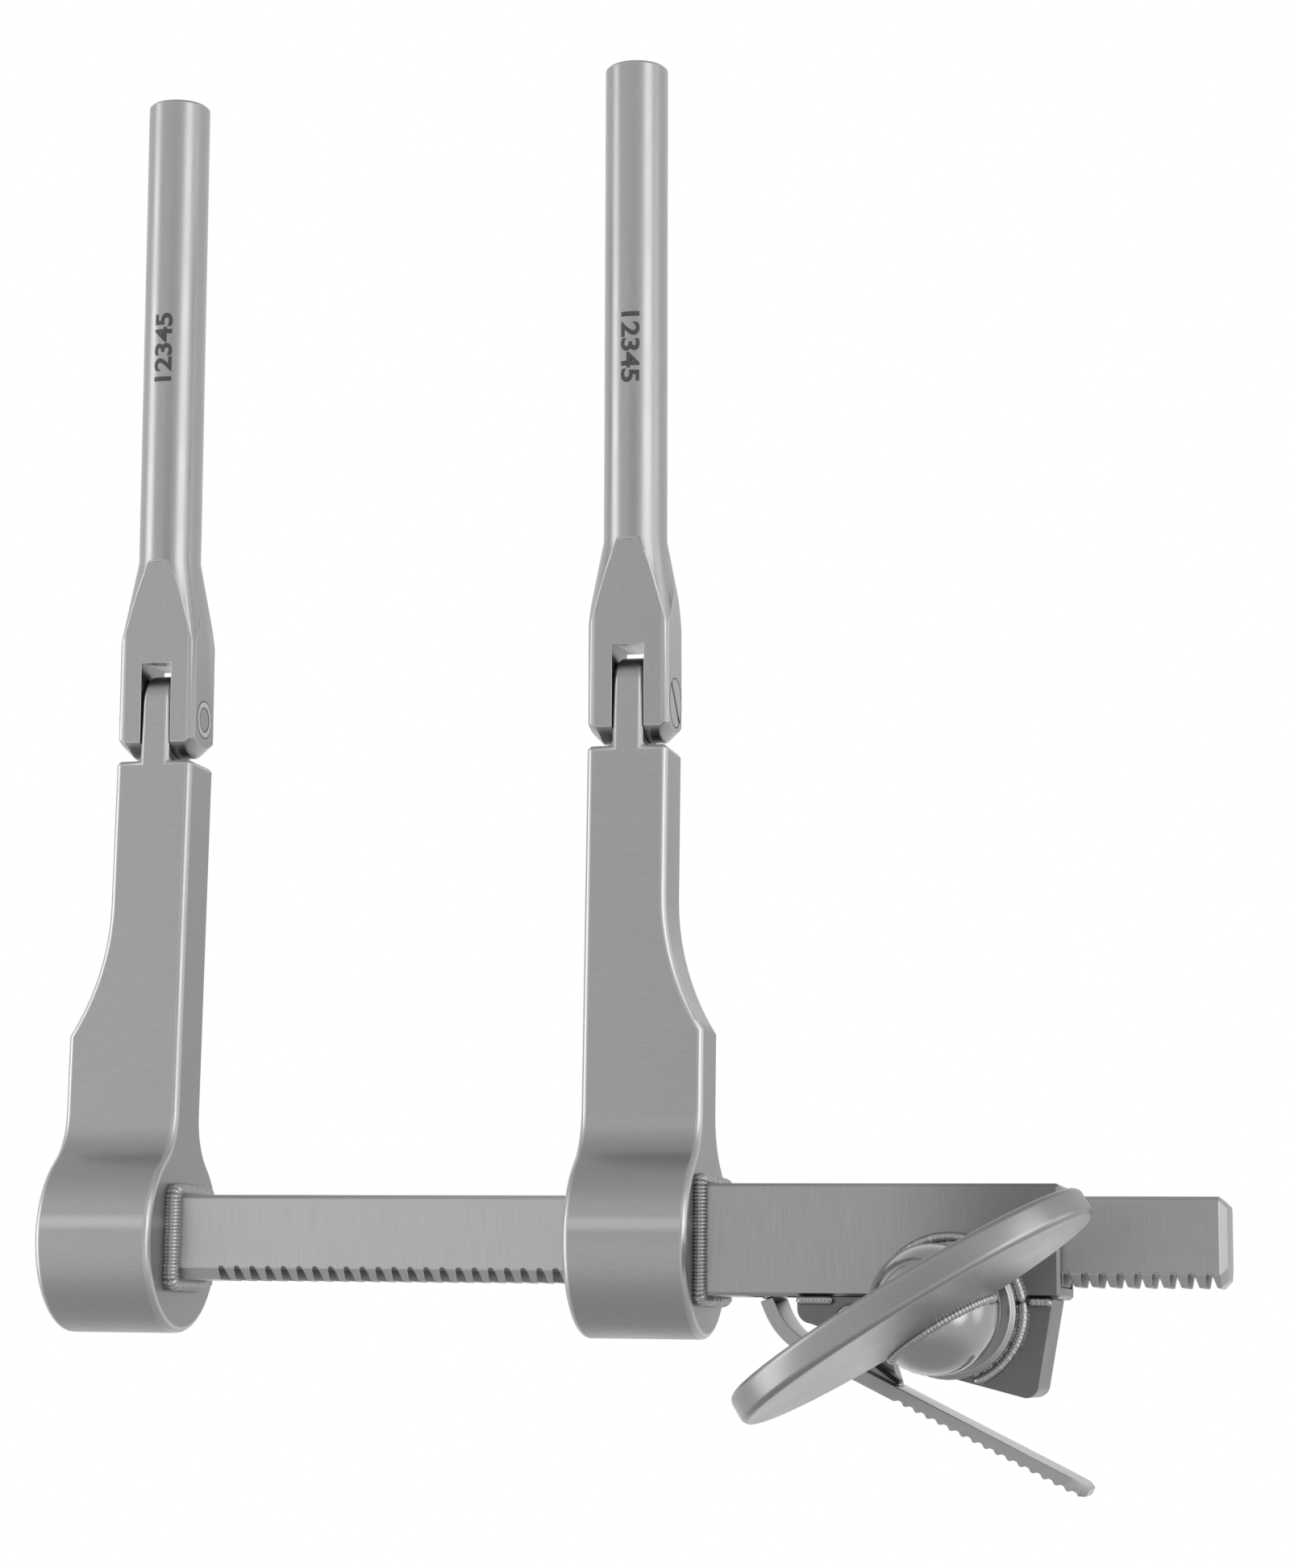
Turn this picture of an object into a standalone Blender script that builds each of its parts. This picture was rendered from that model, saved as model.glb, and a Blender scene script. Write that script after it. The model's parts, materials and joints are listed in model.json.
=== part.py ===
"""Vertebral spreader: a rack bar with a fixed left arm, a geared carriage with the right arm,
and a hinged tubular post on each arm.

Units are metres. +X runs along the rack bar towards its free end, +Z points up the posts,
and the front, where the thumb key stands, faces -Y. The origin is on the bar's axis, in the
flat outer face of the left arm's boss.
"""

import math

import bmesh
import bpy
from mathutils import Matrix, Vector

MM = 0.001

# Clearances
SEAT_GAP = 0.03 * MM
RUNNING_GAP = 0.06 * MM
BAR_GAP = 0.07 * MM

# Arms
ARM_TOP_WIDTH = 7.94 * MM
ARM_BASE_WIDTH = 11.7 * MM
ARM_DEPTH = 6.1 * MM
BOSS_RADIUS = 9.05 * MM
BOSS_FILLET = 5.8 * MM
WAIST_TOP_Z = 32.3 * MM
WAIST_RADIUS = 24.0 * MM
SHOULDER_Z = 46.55 * MM
TONGUE_WIDTH = 3.0 * MM
TONGUE_REACH = 4.45 * MM
ARM_CHAMFER = 0.38 * MM

# Hinged posts
HINGE_Z = 51.0 * MM
POST_LEAN = math.radians(2.55)
POST_RADIUS = 3.07 * MM
POST_HEIGHT = 63.3 * MM
POST_BORE_RADIUS = 1.8 * MM
POST_BORE_DEPTH = 48.0 * MM
POST_CHAMFER = 0.25 * MM
CLEVIS_STOCK_RADIUS = 4.7 * MM
CLEVIS_WIDTH = 8.0 * MM
CLEVIS_FLAT_INSET = 0.1 * MM
CLEVIS_FOOT = 3.85 * MM
CLEVIS_FOOT_CHAMFER = 1.7 * MM
CLEVIS_SHOULDER_Z = 7.5 * MM
CONE_TOP_Z = 15.9 * MM
SLOT_TOP_Z = 5.4 * MM
SCREW_SHANK_RADIUS = 1.2 * MM
SCREW_HEAD_RADIUS = 2.35 * MM
SCREW_HEAD_HEIGHT = 0.8 * MM
SCREW_TAIL_RADIUS = 1.8 * MM
SCREW_TAIL_HEIGHT = 0.6 * MM
SCREW_SLOT_WIDTH = 0.5 * MM
SCREW_SLOT_DEPTH = 0.4 * MM
SCREW_SLOT_TURN = math.radians(42.0)

# Rack bar
BAR_LENGTH = 99.7 * MM
BAR_HEIGHT = 8.0 * MM
BAR_DEPTH = 8.0 * MM
BAR_TOP_CHAMFER = 0.4 * MM
BAR_BOTTOM_CHAMFER = 1.1 * MM
BAR_END_CHAMFER = 0.7 * MM
RACK_PITCH = 1.5708 * MM
FIRST_NOTCH = 5.38 * MM
NOTCH_COUNT = 60
NOTCH_DEPTH = 1.3 * MM
NOTCH_LEFT = 0.42 * MM
NOTCH_RIGHT = 0.62 * MM
NOTCH_TOP_HALF = 0.3 * MM

# Where the carriage stands on the rack, and how its sleeve fits round the pinion
NOSE_NOTCH = 34
NOSE_FROM_ARM = 6.8872 * MM
NOTCHES_TO_PINION = 10
SLEEVE_PAST_PINION = 9.8194 * MM

# Sleeve on the bar
SLEEVE_WALL = 1.0 * MM
SLEEVE_FRONT_WALL = 1.13 * MM
SLEEVE_CHAMFER = 0.3 * MM
WELD_LEG = 1.2 * MM

# Gear housing under the sleeve, measured from the sleeve's underside and its free end
HOUSING_THICKNESS = 8.45 * MM
HOUSING_RECESS = 0.35 * MM
HOUSING_END_SETBACK = 0.7 * MM
HOUSING_END_LEAN = 1.3 * MM
HOUSING_END_DROP = 8.7 * MM
HOUSING_CORNER = 1.2 * MM
HOUSING_FLOOR_RUN = 6.0 * MM
HOUSING_FLOOR_RISE = 1.5 * MM
LUG_REACH = 5.1 * MM
LUG_DROP = 2.4 * MM
LUG_RADIUS = 1.3 * MM
LUG_UNDERSIDE_RUN = 3.6 * MM
LUG_UNDERSIDE_FALL = 0.8 * MM
EAR_SLOT_WIDTH = 3.3 * MM
EAR_SLOT_REACH = 3.7 * MM
SEAM_BEAD_RADIUS = 0.34 * MM
SEAM_BEAD_INSET = 0.3 * MM

# Pinion and thumb key
PINION_TEETH = 11
PINION_LENGTH = 4.5 * MM
PINION_TOP_CLEARANCE = 0.32 * MM
PINION_TIP_HALF = 0.085 * MM
PINION_ROOT_HALF = 0.28 * MM
PINION_ROOT_RADIUS = 2.02 * MM
RACK_DEDENDUM = 0.5 * MM
PINION_POCKET_GAP = 0.25 * MM
SHAFT_RADIUS = 1.6 * MM
JOURNAL_RADIUS = 0.9 * MM
JOURNAL_LENGTH = 1.7 * MM
BOSS_FLANGE_RADIUS = 6.05 * MM
BOSS_FLANGE_HEIGHT = 1.8 * MM
BOSS_FLANGE_CHAMFER = 0.45 * MM
BEARING_SPIGOT = 1.5 * MM
RING_BEAD_RADIUS = 0.45 * MM
RING_BEAD_UPPER = (math.radians(12.0), math.radians(166.0))
RING_BEAD_LOWER = (math.radians(-62.0), math.radians(0.0))
HUB_NECK_RADIUS = 4.9 * MM
HUB_RADIUS = 5.7 * MM
HUB_NECK_LENGTH = 1.2 * MM
HUB_SWELL_LENGTH = 6.6 * MM
SHAFT_IN_HUB = 6.0 * MM
KEY_LENGTH = 34.1 * MM
KEY_DEPTH = 20.5 * MM
KEY_THICKNESS = 2.6 * MM
KEY_TURN = math.radians(31.5)
KEY_TILT = math.radians(3.0)
KEY_LAP = 4.65 * MM
KEY_EDGE_RADIUS = 0.55 * MM
KEY_PIN_RADIUS = 0.6 * MM

# Release lever with its pawl nose
NOSE_REACH = 7.62 * MM
LEVER_PIVOT_Z = -7.35 * MM
LEVER_WIDTH = 6.6 * MM
LEVER_THICKNESS = 1.25 * MM
LEVER_SLOPE = math.radians(26.0)
LEVER_ARM_START = (-4.6 * MM, -2.25 * MM)
LEVER_ARM_LENGTH = 27.6 * MM
LEVER_TIP_ROUND = 2.8 * MM
LEVER_BEND_RADIUS = 6.5 * MM
LEVER_BEND_ANGLE = math.radians(42.0)
LEVER_RISER = 0.9 * MM
EAR_RADIUS = 1.9 * MM
EAR_FOOT_START = 0.4 * MM
EAR_FOOT_END = 9.0 * MM
EAR_WIDTH = 3.0 * MM
GRIP_RIDGES = 16
GRIP_PITCH = 1.15 * MM
GRIP_DEPTH = 0.24 * MM
NOSE_WIDTH = 5.6 * MM
NOSE_TIP_WIDTH = 0.36 * MM
NOSE_BASE_WIDTH = 1.1 * MM
NOSE_HEIGHT = 1.0 * MM
NOSE_LIFT = 0.1 * MM
NOSE_BACKSET = 0.3 * MM
PAWL_WINDOW_LENGTH = 5.4 * MM
PIVOT_RADIUS = 0.9 * MM
PIVOT_HEAD_RADIUS = 1.7 * MM
PIVOT_HEAD_HEIGHT = 0.9 * MM
SPRING_WIDTH = 2.0 * MM
SPRING_THICKNESS = 0.42 * MM
SPRING_LINE = ((-1.0, 0.35), (1.4, 1.3), (2.9, 2.55), (5.0, 4.1))

# Facets
ROUND_STEPS = 48
SMALL_STEPS = 24
ARC_STEPS = 10

# Places worked out from the sizes above
HALF_BAR = BAR_HEIGHT / 2
LEFT_INNER_X = ARM_BASE_WIDTH
RIGHT_OUTER_X = ARM_BASE_WIDTH
NOSE_X = RIGHT_OUTER_X + NOSE_FROM_ARM
ARM_SPREAD = FIRST_NOTCH + NOSE_NOTCH * RACK_PITCH - NOSE_X
PINION_X = NOSE_X + (NOTCHES_TO_PINION + 0.5) * RACK_PITCH
SLEEVE_HALF_HEIGHT = HALF_BAR + BAR_GAP + SLEEVE_WALL
SLEEVE_HALF_DEPTH = BAR_DEPTH / 2 + BAR_GAP + SLEEVE_FRONT_WALL
SLEEVE_START = RIGHT_OUTER_X + SEAT_GAP
SLEEVE_END = PINION_X + SLEEVE_PAST_PINION
SLEEVE_LENGTH = SLEEVE_END - RIGHT_OUTER_X
HOUSING_TOP = -SLEEVE_HALF_HEIGHT - SEAT_GAP
HOUSING_FRONT = -SLEEVE_HALF_DEPTH + HOUSING_RECESS
HOUSING_BACK = HOUSING_FRONT + HOUSING_THICKNESS
PITCH_RADIUS = PINION_TEETH * RACK_PITCH / math.tau
PINION_Z = -HALF_BAR + RACK_DEDENDUM - PITCH_RADIUS
PINION_TIP_RADIUS = -HALF_BAR + NOTCH_DEPTH - PINION_TOP_CLEARANCE - PINION_Z
BEARING_BACK = -SLEEVE_HALF_DEPTH - SEAT_GAP
BEARING_FRONT = BEARING_BACK - BOSS_FLANGE_HEIGHT
PINION_FRONT = HOUSING_FRONT + BEARING_SPIGOT + RUNNING_GAP
PINION_BACK = PINION_FRONT + PINION_LENGTH
HUB_BACK = BEARING_FRONT - RUNNING_GAP
EAR_MIDDLE_Y = (HOUSING_FRONT + HOUSING_BACK) / 2
LEVER_PIVOT_X = NOSE_X + NOSE_REACH
HOUSING_LEFT = LEVER_PIVOT_X - LUG_REACH
CLEVIS_DEPTH = 2 * (POST_RADIUS - CLEVIS_FLAT_INSET)
HUB_LENGTH = HUB_NECK_LENGTH + HUB_SWELL_LENGTH + HUB_RADIUS

PARTS = "vertebral_spreader"
CUTTERS = "cutters"


def clear_scene():
    """Empties the file that Blender starts with."""
    for old in list(bpy.data.objects):
        bpy.data.objects.remove(old, do_unlink=True)


def collection(name):
    """The collection of that name, made and linked to the scene on first use."""
    found = bpy.data.collections.get(name)
    if found is None:
        found = bpy.data.collections.new(name)
        bpy.context.scene.collection.children.link(found)
    return found


def steel(name, colour, roughness, metallic=1.0):
    """A Principled material for one sub-part."""
    made = bpy.data.materials.new(name)
    made.use_nodes = True
    shader = made.node_tree.nodes["Principled BSDF"]
    shader.inputs["Base Color"].default_value = (*colour, 1.0)
    shader.inputs["Roughness"].default_value = roughness
    shader.inputs["Metallic"].default_value = metallic
    return made


def empty(name, location, parent=None, rotation=(0.0, 0.0, 0.0)):
    """A joint's place: the pieces of one body are parented to it."""
    marker = bpy.data.objects.new(name, None)
    marker.empty_display_size = 5 * MM
    marker.location = location
    marker.rotation_euler = rotation
    marker.parent = parent
    collection(PARTS).objects.link(marker)
    return marker


def add_object(name, mesh, parent, cutter=False):
    """A piece of the part, or a hidden cutter, in its collection."""
    made = bpy.data.objects.new(name, mesh)
    made.parent = parent
    collection(CUTTERS if cutter else PARTS).objects.link(made)
    if cutter:
        made.hide_render = True
        made.display_type = "WIRE"
    return made


def finish(piece, colour=(0.62, 0.62, 0.61), roughness=0.33, metallic=1.0):
    """Gives a sub-part its own material and smooth shading between its sharp edges."""
    piece.data.materials.clear()
    piece.data.materials.append(steel(piece.name + "_steel", colour, roughness, metallic))
    piece.data.shade_smooth()
    piece.data.set_sharp_from_angle(angle=math.radians(30.0))
    return piece


AXES = {
    "X": Matrix(((0, 0, 1, 0), (1, 0, 0, 0), (0, 1, 0, 0), (0, 0, 0, 1))),
    "Y": Matrix(((1, 0, 0, 0), (0, 0, -1, 0), (0, 1, 0, 0), (0, 0, 0, 1))),
}


def prism(name, outline, axis, low, high, parent, cutter=False):
    """A flat outline given the thickness from low to high along an axis.

    The outline is (y, z) for axis X and (x, z) for axis Y.
    """
    curve = bpy.data.curves.new(name, "CURVE")
    curve.dimensions = "2D"
    curve.fill_mode = "BOTH"
    curve.extrude = (high - low) / 2
    spline = curve.splines.new("POLY")
    spline.points.add(len(outline) - 1)
    for point, (u, v) in zip(spline.points, outline):
        point.co = (u, v, 0.0, 1.0)
    spline.use_cyclic_u = True
    holder = bpy.data.objects.new(name + "_curve", curve)
    collection(PARTS).objects.link(holder)
    bpy.context.view_layer.update()
    graph = bpy.context.evaluated_depsgraph_get()
    mesh = bpy.data.meshes.new_from_object(holder.evaluated_get(graph))
    bpy.data.objects.remove(holder, do_unlink=True)
    bpy.data.curves.remove(curve)
    middle = (low + high) / 2
    offset = (middle, 0.0, 0.0) if axis == "X" else (0.0, middle, 0.0)
    mesh.transform(Matrix.Translation(offset) @ AXES[axis])
    shape = bmesh.new()
    shape.from_mesh(mesh)
    bmesh.ops.remove_doubles(shape, verts=shape.verts, dist=1e-7)
    bmesh.ops.dissolve_limit(
        shape, angle_limit=math.radians(0.5), verts=shape.verts, edges=shape.edges
    )
    bmesh.ops.recalc_face_normals(shape, faces=shape.faces)
    shape.to_mesh(mesh)
    shape.free()
    mesh.name = name
    return add_object(name, mesh, parent, cutter)


def box(name, low, high, parent, cutter=False):
    """A block between two corners."""
    shape = bmesh.new()
    bmesh.ops.create_cube(shape, size=1.0)
    size = Vector(high) - Vector(low)
    bmesh.ops.scale(shape, vec=size, verts=shape.verts)
    bmesh.ops.translate(shape, vec=(Vector(high) + Vector(low)) / 2, verts=shape.verts)
    mesh = bpy.data.meshes.new(name)
    shape.to_mesh(mesh)
    shape.free()
    return add_object(name, mesh, parent, cutter)


TURNS = {
    "+X": (0.0, math.pi / 2, 0.0),
    "-X": (0.0, -math.pi / 2, 0.0),
    "-Y": (math.pi / 2, 0.0, 0.0),
    "+Z": (0.0, 0.0, 0.0),
}


def turned(name, profile, axis, location, parent, steps=ROUND_STEPS, cutter=False):
    """A turned shape: its profile is (radius, height), from the top down the outer side."""
    mesh = bpy.data.meshes.new(name)
    points = [(radius, 0.0, height) for radius, height in profile]
    mesh.from_pydata(points, [(i, i + 1) for i in range(len(points) - 1)], [])
    made = add_object(name, mesh, parent, cutter)
    made.rotation_euler = TURNS[axis]
    made.location = location
    screw = made.modifiers.new("turn", "SCREW")
    screw.steps = steps
    screw.render_steps = steps
    screw.use_merge_vertices = True
    screw.merge_threshold = 1e-7
    return made


def rod(name, radius, low, high, axis, location, parent, steps=SMALL_STEPS, cutter=False):
    """A plain cylinder along an axis, from height low to height high."""
    profile = [(0.0, high), (radius, high), (radius, low), (0.0, low)]
    return turned(name, profile, axis, location, parent, steps, cutter)


def combine(piece, tool, operation="DIFFERENCE"):
    """Cuts, joins or trims a piece with another object, exactly."""
    boolean = piece.modifiers.new(operation.lower() + "_" + tool.name, "BOOLEAN")
    boolean.operation = operation
    boolean.solver = "EXACT"
    boolean.object = tool
    return piece


def break_edges(piece, width, segments=1, angle=40.0):
    """A small chamfer or round on every sharp edge."""
    bevel = piece.modifiers.new("edges", "BEVEL")
    bevel.width = width
    bevel.segments = segments
    bevel.limit_method = "ANGLE"
    bevel.angle_limit = math.radians(angle)
    bevel.harden_normals = False
    return piece


def arc(centre, radius, start, end, steps=ARC_STEPS):
    """Points on an arc between two angles in degrees, both ends included."""
    cx, cy = centre
    turns = [math.radians(start + (end - start) * i / steps) for i in range(steps + 1)]
    return [(cx + radius * math.cos(t), cy + radius * math.sin(t)) for t in turns]


def arm_side_outline():
    """The arm seen along the bar: round boss, fillets, plain shank and rounded tongue end."""
    half = ARM_DEPTH / 2
    reach = half + BOSS_FILLET
    fillet_z = math.sqrt((BOSS_RADIUS + BOSS_FILLET) ** 2 - reach**2)
    tangent = math.degrees(math.atan2(fillet_z, reach))
    outline = arc((0.0, HINGE_Z + TONGUE_REACH - half), half, 0.0, 180.0, 16)
    outline += arc((-reach, fillet_z), BOSS_FILLET, 0.0, tangent - 90.0 + 90.0 - tangent * 2)
    outline += arc((0.0, 0.0), BOSS_RADIUS, 180.0 - tangent, 360.0 + tangent, 40)[1:-1]
    outline += arc((reach, fillet_z), BOSS_FILLET, 180.0 + tangent, 180.0)
    return outline


def make_arm(name, side, parent):
    """One arm, its inner face at x = 0 and its outer side towards side (-1 or +1)."""
    faces = sorted((0.0, side * ARM_BASE_WIDTH))
    arm = prism(name, arm_side_outline(), "X", faces[0], faces[1], parent)
    drop = math.sqrt(WAIST_RADIUS**2 - (WAIST_RADIUS - (ARM_BASE_WIDTH - ARM_TOP_WIDTH)) ** 2)
    lowest = math.degrees(math.asin(drop / WAIST_RADIUS))
    above = HINGE_Z + TONGUE_REACH + ARM_DEPTH
    beyond = ARM_BASE_WIDTH + ARM_DEPTH
    waist = [(ARM_TOP_WIDTH, above)]
    waist += arc((ARM_TOP_WIDTH + WAIST_RADIUS, WAIST_TOP_Z), WAIST_RADIUS, 180.0, 180.0 + lowest)
    waist += [(beyond, waist[-1][1]), (beyond, above)]
    waist = [(side * x, z) for x, z in waist]
    depth = BOSS_RADIUS * 2
    combine(arm, prism(name + "_waist", waist, "Y", -depth, depth, parent, True))
    middle = ARM_TOP_WIDTH / 2
    for tag, near, far in (
        ("inner", -ARM_DEPTH, middle - TONGUE_WIDTH / 2),
        ("outer", middle + TONGUE_WIDTH / 2, beyond + ARM_DEPTH),
    ):
        span = sorted((side * near, side * far))
        low = (span[0], -depth, SHOULDER_Z)
        high = (span[1], depth, above + ARM_DEPTH)
        combine(arm, box(name + "_shoulder_" + tag, low, high, parent, True))
    break_edges(arm, ARM_CHAMFER)
    hole = rod(
        name + "_hinge_hole",
        SCREW_SHANK_RADIUS + RUNNING_GAP,
        -ARM_BASE_WIDTH,
        ARM_BASE_WIDTH,
        "+X",
        (side * middle, 0.0, HINGE_Z),
        parent,
        cutter=True,
    )
    return finish(combine(arm, hole))


def bar_section(chamfer_inset=0.0):
    """The bar's cross-section as (y, z), with small top and larger bottom edge chamfers."""
    y, z = BAR_DEPTH / 2 - chamfer_inset, HALF_BAR - chamfer_inset
    top, low = BAR_TOP_CHAMFER, BAR_BOTTOM_CHAMFER
    right = [(y - low, -z), (y, -z + low), (y, z - top), (y - top, z)]
    return right + [(-u, v) for u, v in reversed(right)]


def notch_outline(middle):
    """One rack notch as (x, z): a steep left wall, a round top and a sloping right wall."""
    below = -HALF_BAR - NOTCH_DEPTH
    shoulder = NOTCH_DEPTH - NOTCH_TOP_HALF
    left_slope = (NOTCH_LEFT - NOTCH_TOP_HALF) / shoulder
    right_slope = (NOTCH_RIGHT - NOTCH_TOP_HALF) / shoulder
    depth_below = NOTCH_DEPTH
    outline = [
        (middle - NOTCH_LEFT - left_slope * depth_below, below),
        (middle + NOTCH_RIGHT + right_slope * depth_below, below),
    ]
    return outline + arc((middle, -HALF_BAR + shoulder), NOTCH_TOP_HALF, 0.0, 180.0, 4)


def make_rack_bar(parent):
    """The square bar with its ratchet teeth cut across the underside."""
    shape = bmesh.new()
    stations = (
        (SEAT_GAP, 0.0),
        (BAR_LENGTH - BAR_END_CHAMFER, 0.0),
        (BAR_LENGTH, BAR_END_CHAMFER),
    )
    rings = [
        [shape.verts.new((x, y, z)) for y, z in bar_section(inset)] for x, inset in stations
    ]
    edges = []
    for ring in rings:
        edges.append([shape.edges.new((ring[i - 1], ring[i])) for i in range(len(ring))])
    for near, far in zip(edges, edges[1:]):
        bmesh.ops.bridge_loops(shape, edges=near + far)
    bmesh.ops.contextual_create(shape, geom=edges[0])
    bmesh.ops.contextual_create(shape, geom=edges[-1])
    bmesh.ops.recalc_face_normals(shape, faces=shape.faces)
    mesh = bpy.data.meshes.new("rack_bar")
    shape.to_mesh(mesh)
    shape.free()
    bar = add_object("rack_bar", mesh, parent)
    notches = bpy.data.meshes.new("rack_notches")
    joined = bmesh.new()
    outline = notch_outline(FIRST_NOTCH)
    first = prism("rack_notch", outline, "Y", -BAR_DEPTH, BAR_DEPTH, parent, True)
    for i in range(NOTCH_COUNT):
        start = len(joined.verts)
        joined.from_mesh(first.data)
        joined.verts.ensure_lookup_table()
        bmesh.ops.translate(joined, vec=(i * RACK_PITCH, 0, 0), verts=joined.verts[start:])
    bpy.data.objects.remove(first, do_unlink=True)
    joined.to_mesh(notches)
    joined.free()
    cutter = add_object("rack_notches", notches, parent, True)
    return finish(combine(bar, cutter))


def weld_frame(name, half_depth, half_height, start, direction, parent):
    """A fillet weld all round a rectangular tube or bar that stands on a face at x = start."""
    inner_y, inner_z = half_depth + SEAT_GAP, half_height + SEAT_GAP
    shape = bmesh.new()
    bmesh.ops.create_cube(shape, size=2.0)
    for vert in shape.verts:
        top = vert.co.x > 0
        grow = 0.25 * WELD_LEG if top else WELD_LEG
        vert.co = (
            start + direction * ((WELD_LEG if top else 0.0) + SEAT_GAP),
            vert.co.y * (inner_y + grow),
            vert.co.z * (inner_z + grow),
        )
    bmesh.ops.recalc_face_normals(shape, faces=shape.faces)
    mesh = bpy.data.meshes.new(name)
    shape.to_mesh(mesh)
    shape.free()
    bead = add_object(name, mesh, parent)
    break_edges(bead, 0.3 * WELD_LEG, 2)
    span = sorted((start - direction * WELD_LEG, start + direction * 3 * WELD_LEG))
    low = (span[0], -inner_y, -inner_z)
    high = (span[1], inner_y, inner_z)
    combine(bead, box(name + "_bore", low, high, parent, True))
    return finish(bead, roughness=0.42)


def post_outline():
    """What is left of the clevis stock, seen along the hinge: flats and rounded ear ends."""
    side = CLEVIS_DEPTH / 2
    turn = math.degrees(math.acos(side / CLEVIS_FOOT))
    top = POST_HEIGHT + CLEVIS_DEPTH
    outline = arc((0.0, 0.0), CLEVIS_FOOT, 180.0 + turn, 360.0 - turn, 12)
    runout = CONE_TOP_Z - 3 * CLEVIS_FLAT_INSET
    right = [(side, runout), (3 * side, runout + 2 * side), (3 * side, top)]
    return outline + right + [(-y, z) for y, z in reversed(right)]


def make_post(name, side, parent):
    """A bored tube turned in one piece with its milled clevis; z = 0 is the hinge axis."""
    spare = CLEVIS_DEPTH / 8
    profile = [
        (0.0, POST_HEIGHT),
        (POST_RADIUS - POST_CHAMFER, POST_HEIGHT),
        (POST_RADIUS, POST_HEIGHT - POST_CHAMFER),
        (POST_RADIUS, CONE_TOP_Z),
        (CLEVIS_STOCK_RADIUS, CLEVIS_SHOULDER_Z),
        (CLEVIS_STOCK_RADIUS, CLEVIS_FOOT_CHAMFER - CLEVIS_FOOT),
        (CLEVIS_STOCK_RADIUS - CLEVIS_FOOT_CHAMFER - spare, -CLEVIS_FOOT - spare),
        (0.0, -CLEVIS_FOOT - spare),
    ]
    post = turned(name, profile, "+Z", (0.0, 0.0, 0.0), parent)
    half = CLEVIS_WIDTH / 2
    flats = prism(name + "_flats", post_outline(), "X", -half, half, parent, True)
    combine(post, flats, "INTERSECT")
    slot_half = TONGUE_WIDTH / 2 + RUNNING_GAP
    low = (-slot_half, -CLEVIS_DEPTH, -2 * CLEVIS_DEPTH)
    high = (slot_half, CLEVIS_DEPTH, SLOT_TOP_Z)
    combine(post, box(name + "_slot", low, high, parent, True))
    bore = rod(
        name + "_bore",
        POST_BORE_RADIUS,
        POST_HEIGHT - POST_BORE_DEPTH,
        POST_HEIGHT + CLEVIS_DEPTH,
        "+Z",
        (0.0, 0.0, 0.0),
        parent,
        cutter=True,
    )
    combine(post, bore)
    seat = screw_profile(SEAT_GAP, CLEVIS_WIDTH)
    axis = "+X" if side > 0 else "-X"
    hole = turned(name + "_screw_seat", seat, axis, (0, 0, 0), parent, SMALL_STEPS, True)
    return finish(combine(post, hole))


def screw_profile(gap, overrun):
    """The hinge screw's profile, head outwards; a gap and an overrun make its seat."""
    half = CLEVIS_WIDTH / 2
    shank = SCREW_SHANK_RADIUS + gap
    head = SCREW_HEAD_RADIUS + gap
    tail = SCREW_TAIL_RADIUS + gap
    under_head = half - SCREW_HEAD_HEIGHT - gap
    return [
        (0.0, half + overrun),
        (head, half + overrun),
        (head, under_head),
        (shank, under_head),
        (shank, -half + SCREW_TAIL_HEIGHT + gap),
        (tail, -half),
        (tail, -half - overrun),
        (0.0, -half - overrun),
    ]


def make_hinge_screw(name, side, parent):
    """The slotted hinge screw, its tail spread into a cone in the inner cheek."""
    axis = "+X" if side > 0 else "-X"
    profile = screw_profile(0.0, 0.0)
    profile = [point for i, point in enumerate(profile) if i not in (6,)]
    screw = turned(name, profile, axis, (0, 0, 0), parent, SMALL_STEPS)
    half = CLEVIS_WIDTH / 2
    reach = SCREW_HEAD_RADIUS * 2
    span = sorted((side * (half - SCREW_SLOT_DEPTH), side * (half + SCREW_SLOT_DEPTH)))
    low = (span[0], -SCREW_SLOT_WIDTH / 2, -reach)
    high = (span[1], SCREW_SLOT_WIDTH / 2, reach)
    slot = box(name + "_slot", low, high, parent, True)
    slot.rotation_euler = (SCREW_SLOT_TURN, 0.0, 0.0)
    return finish(combine(screw, slot), roughness=0.28)


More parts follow.
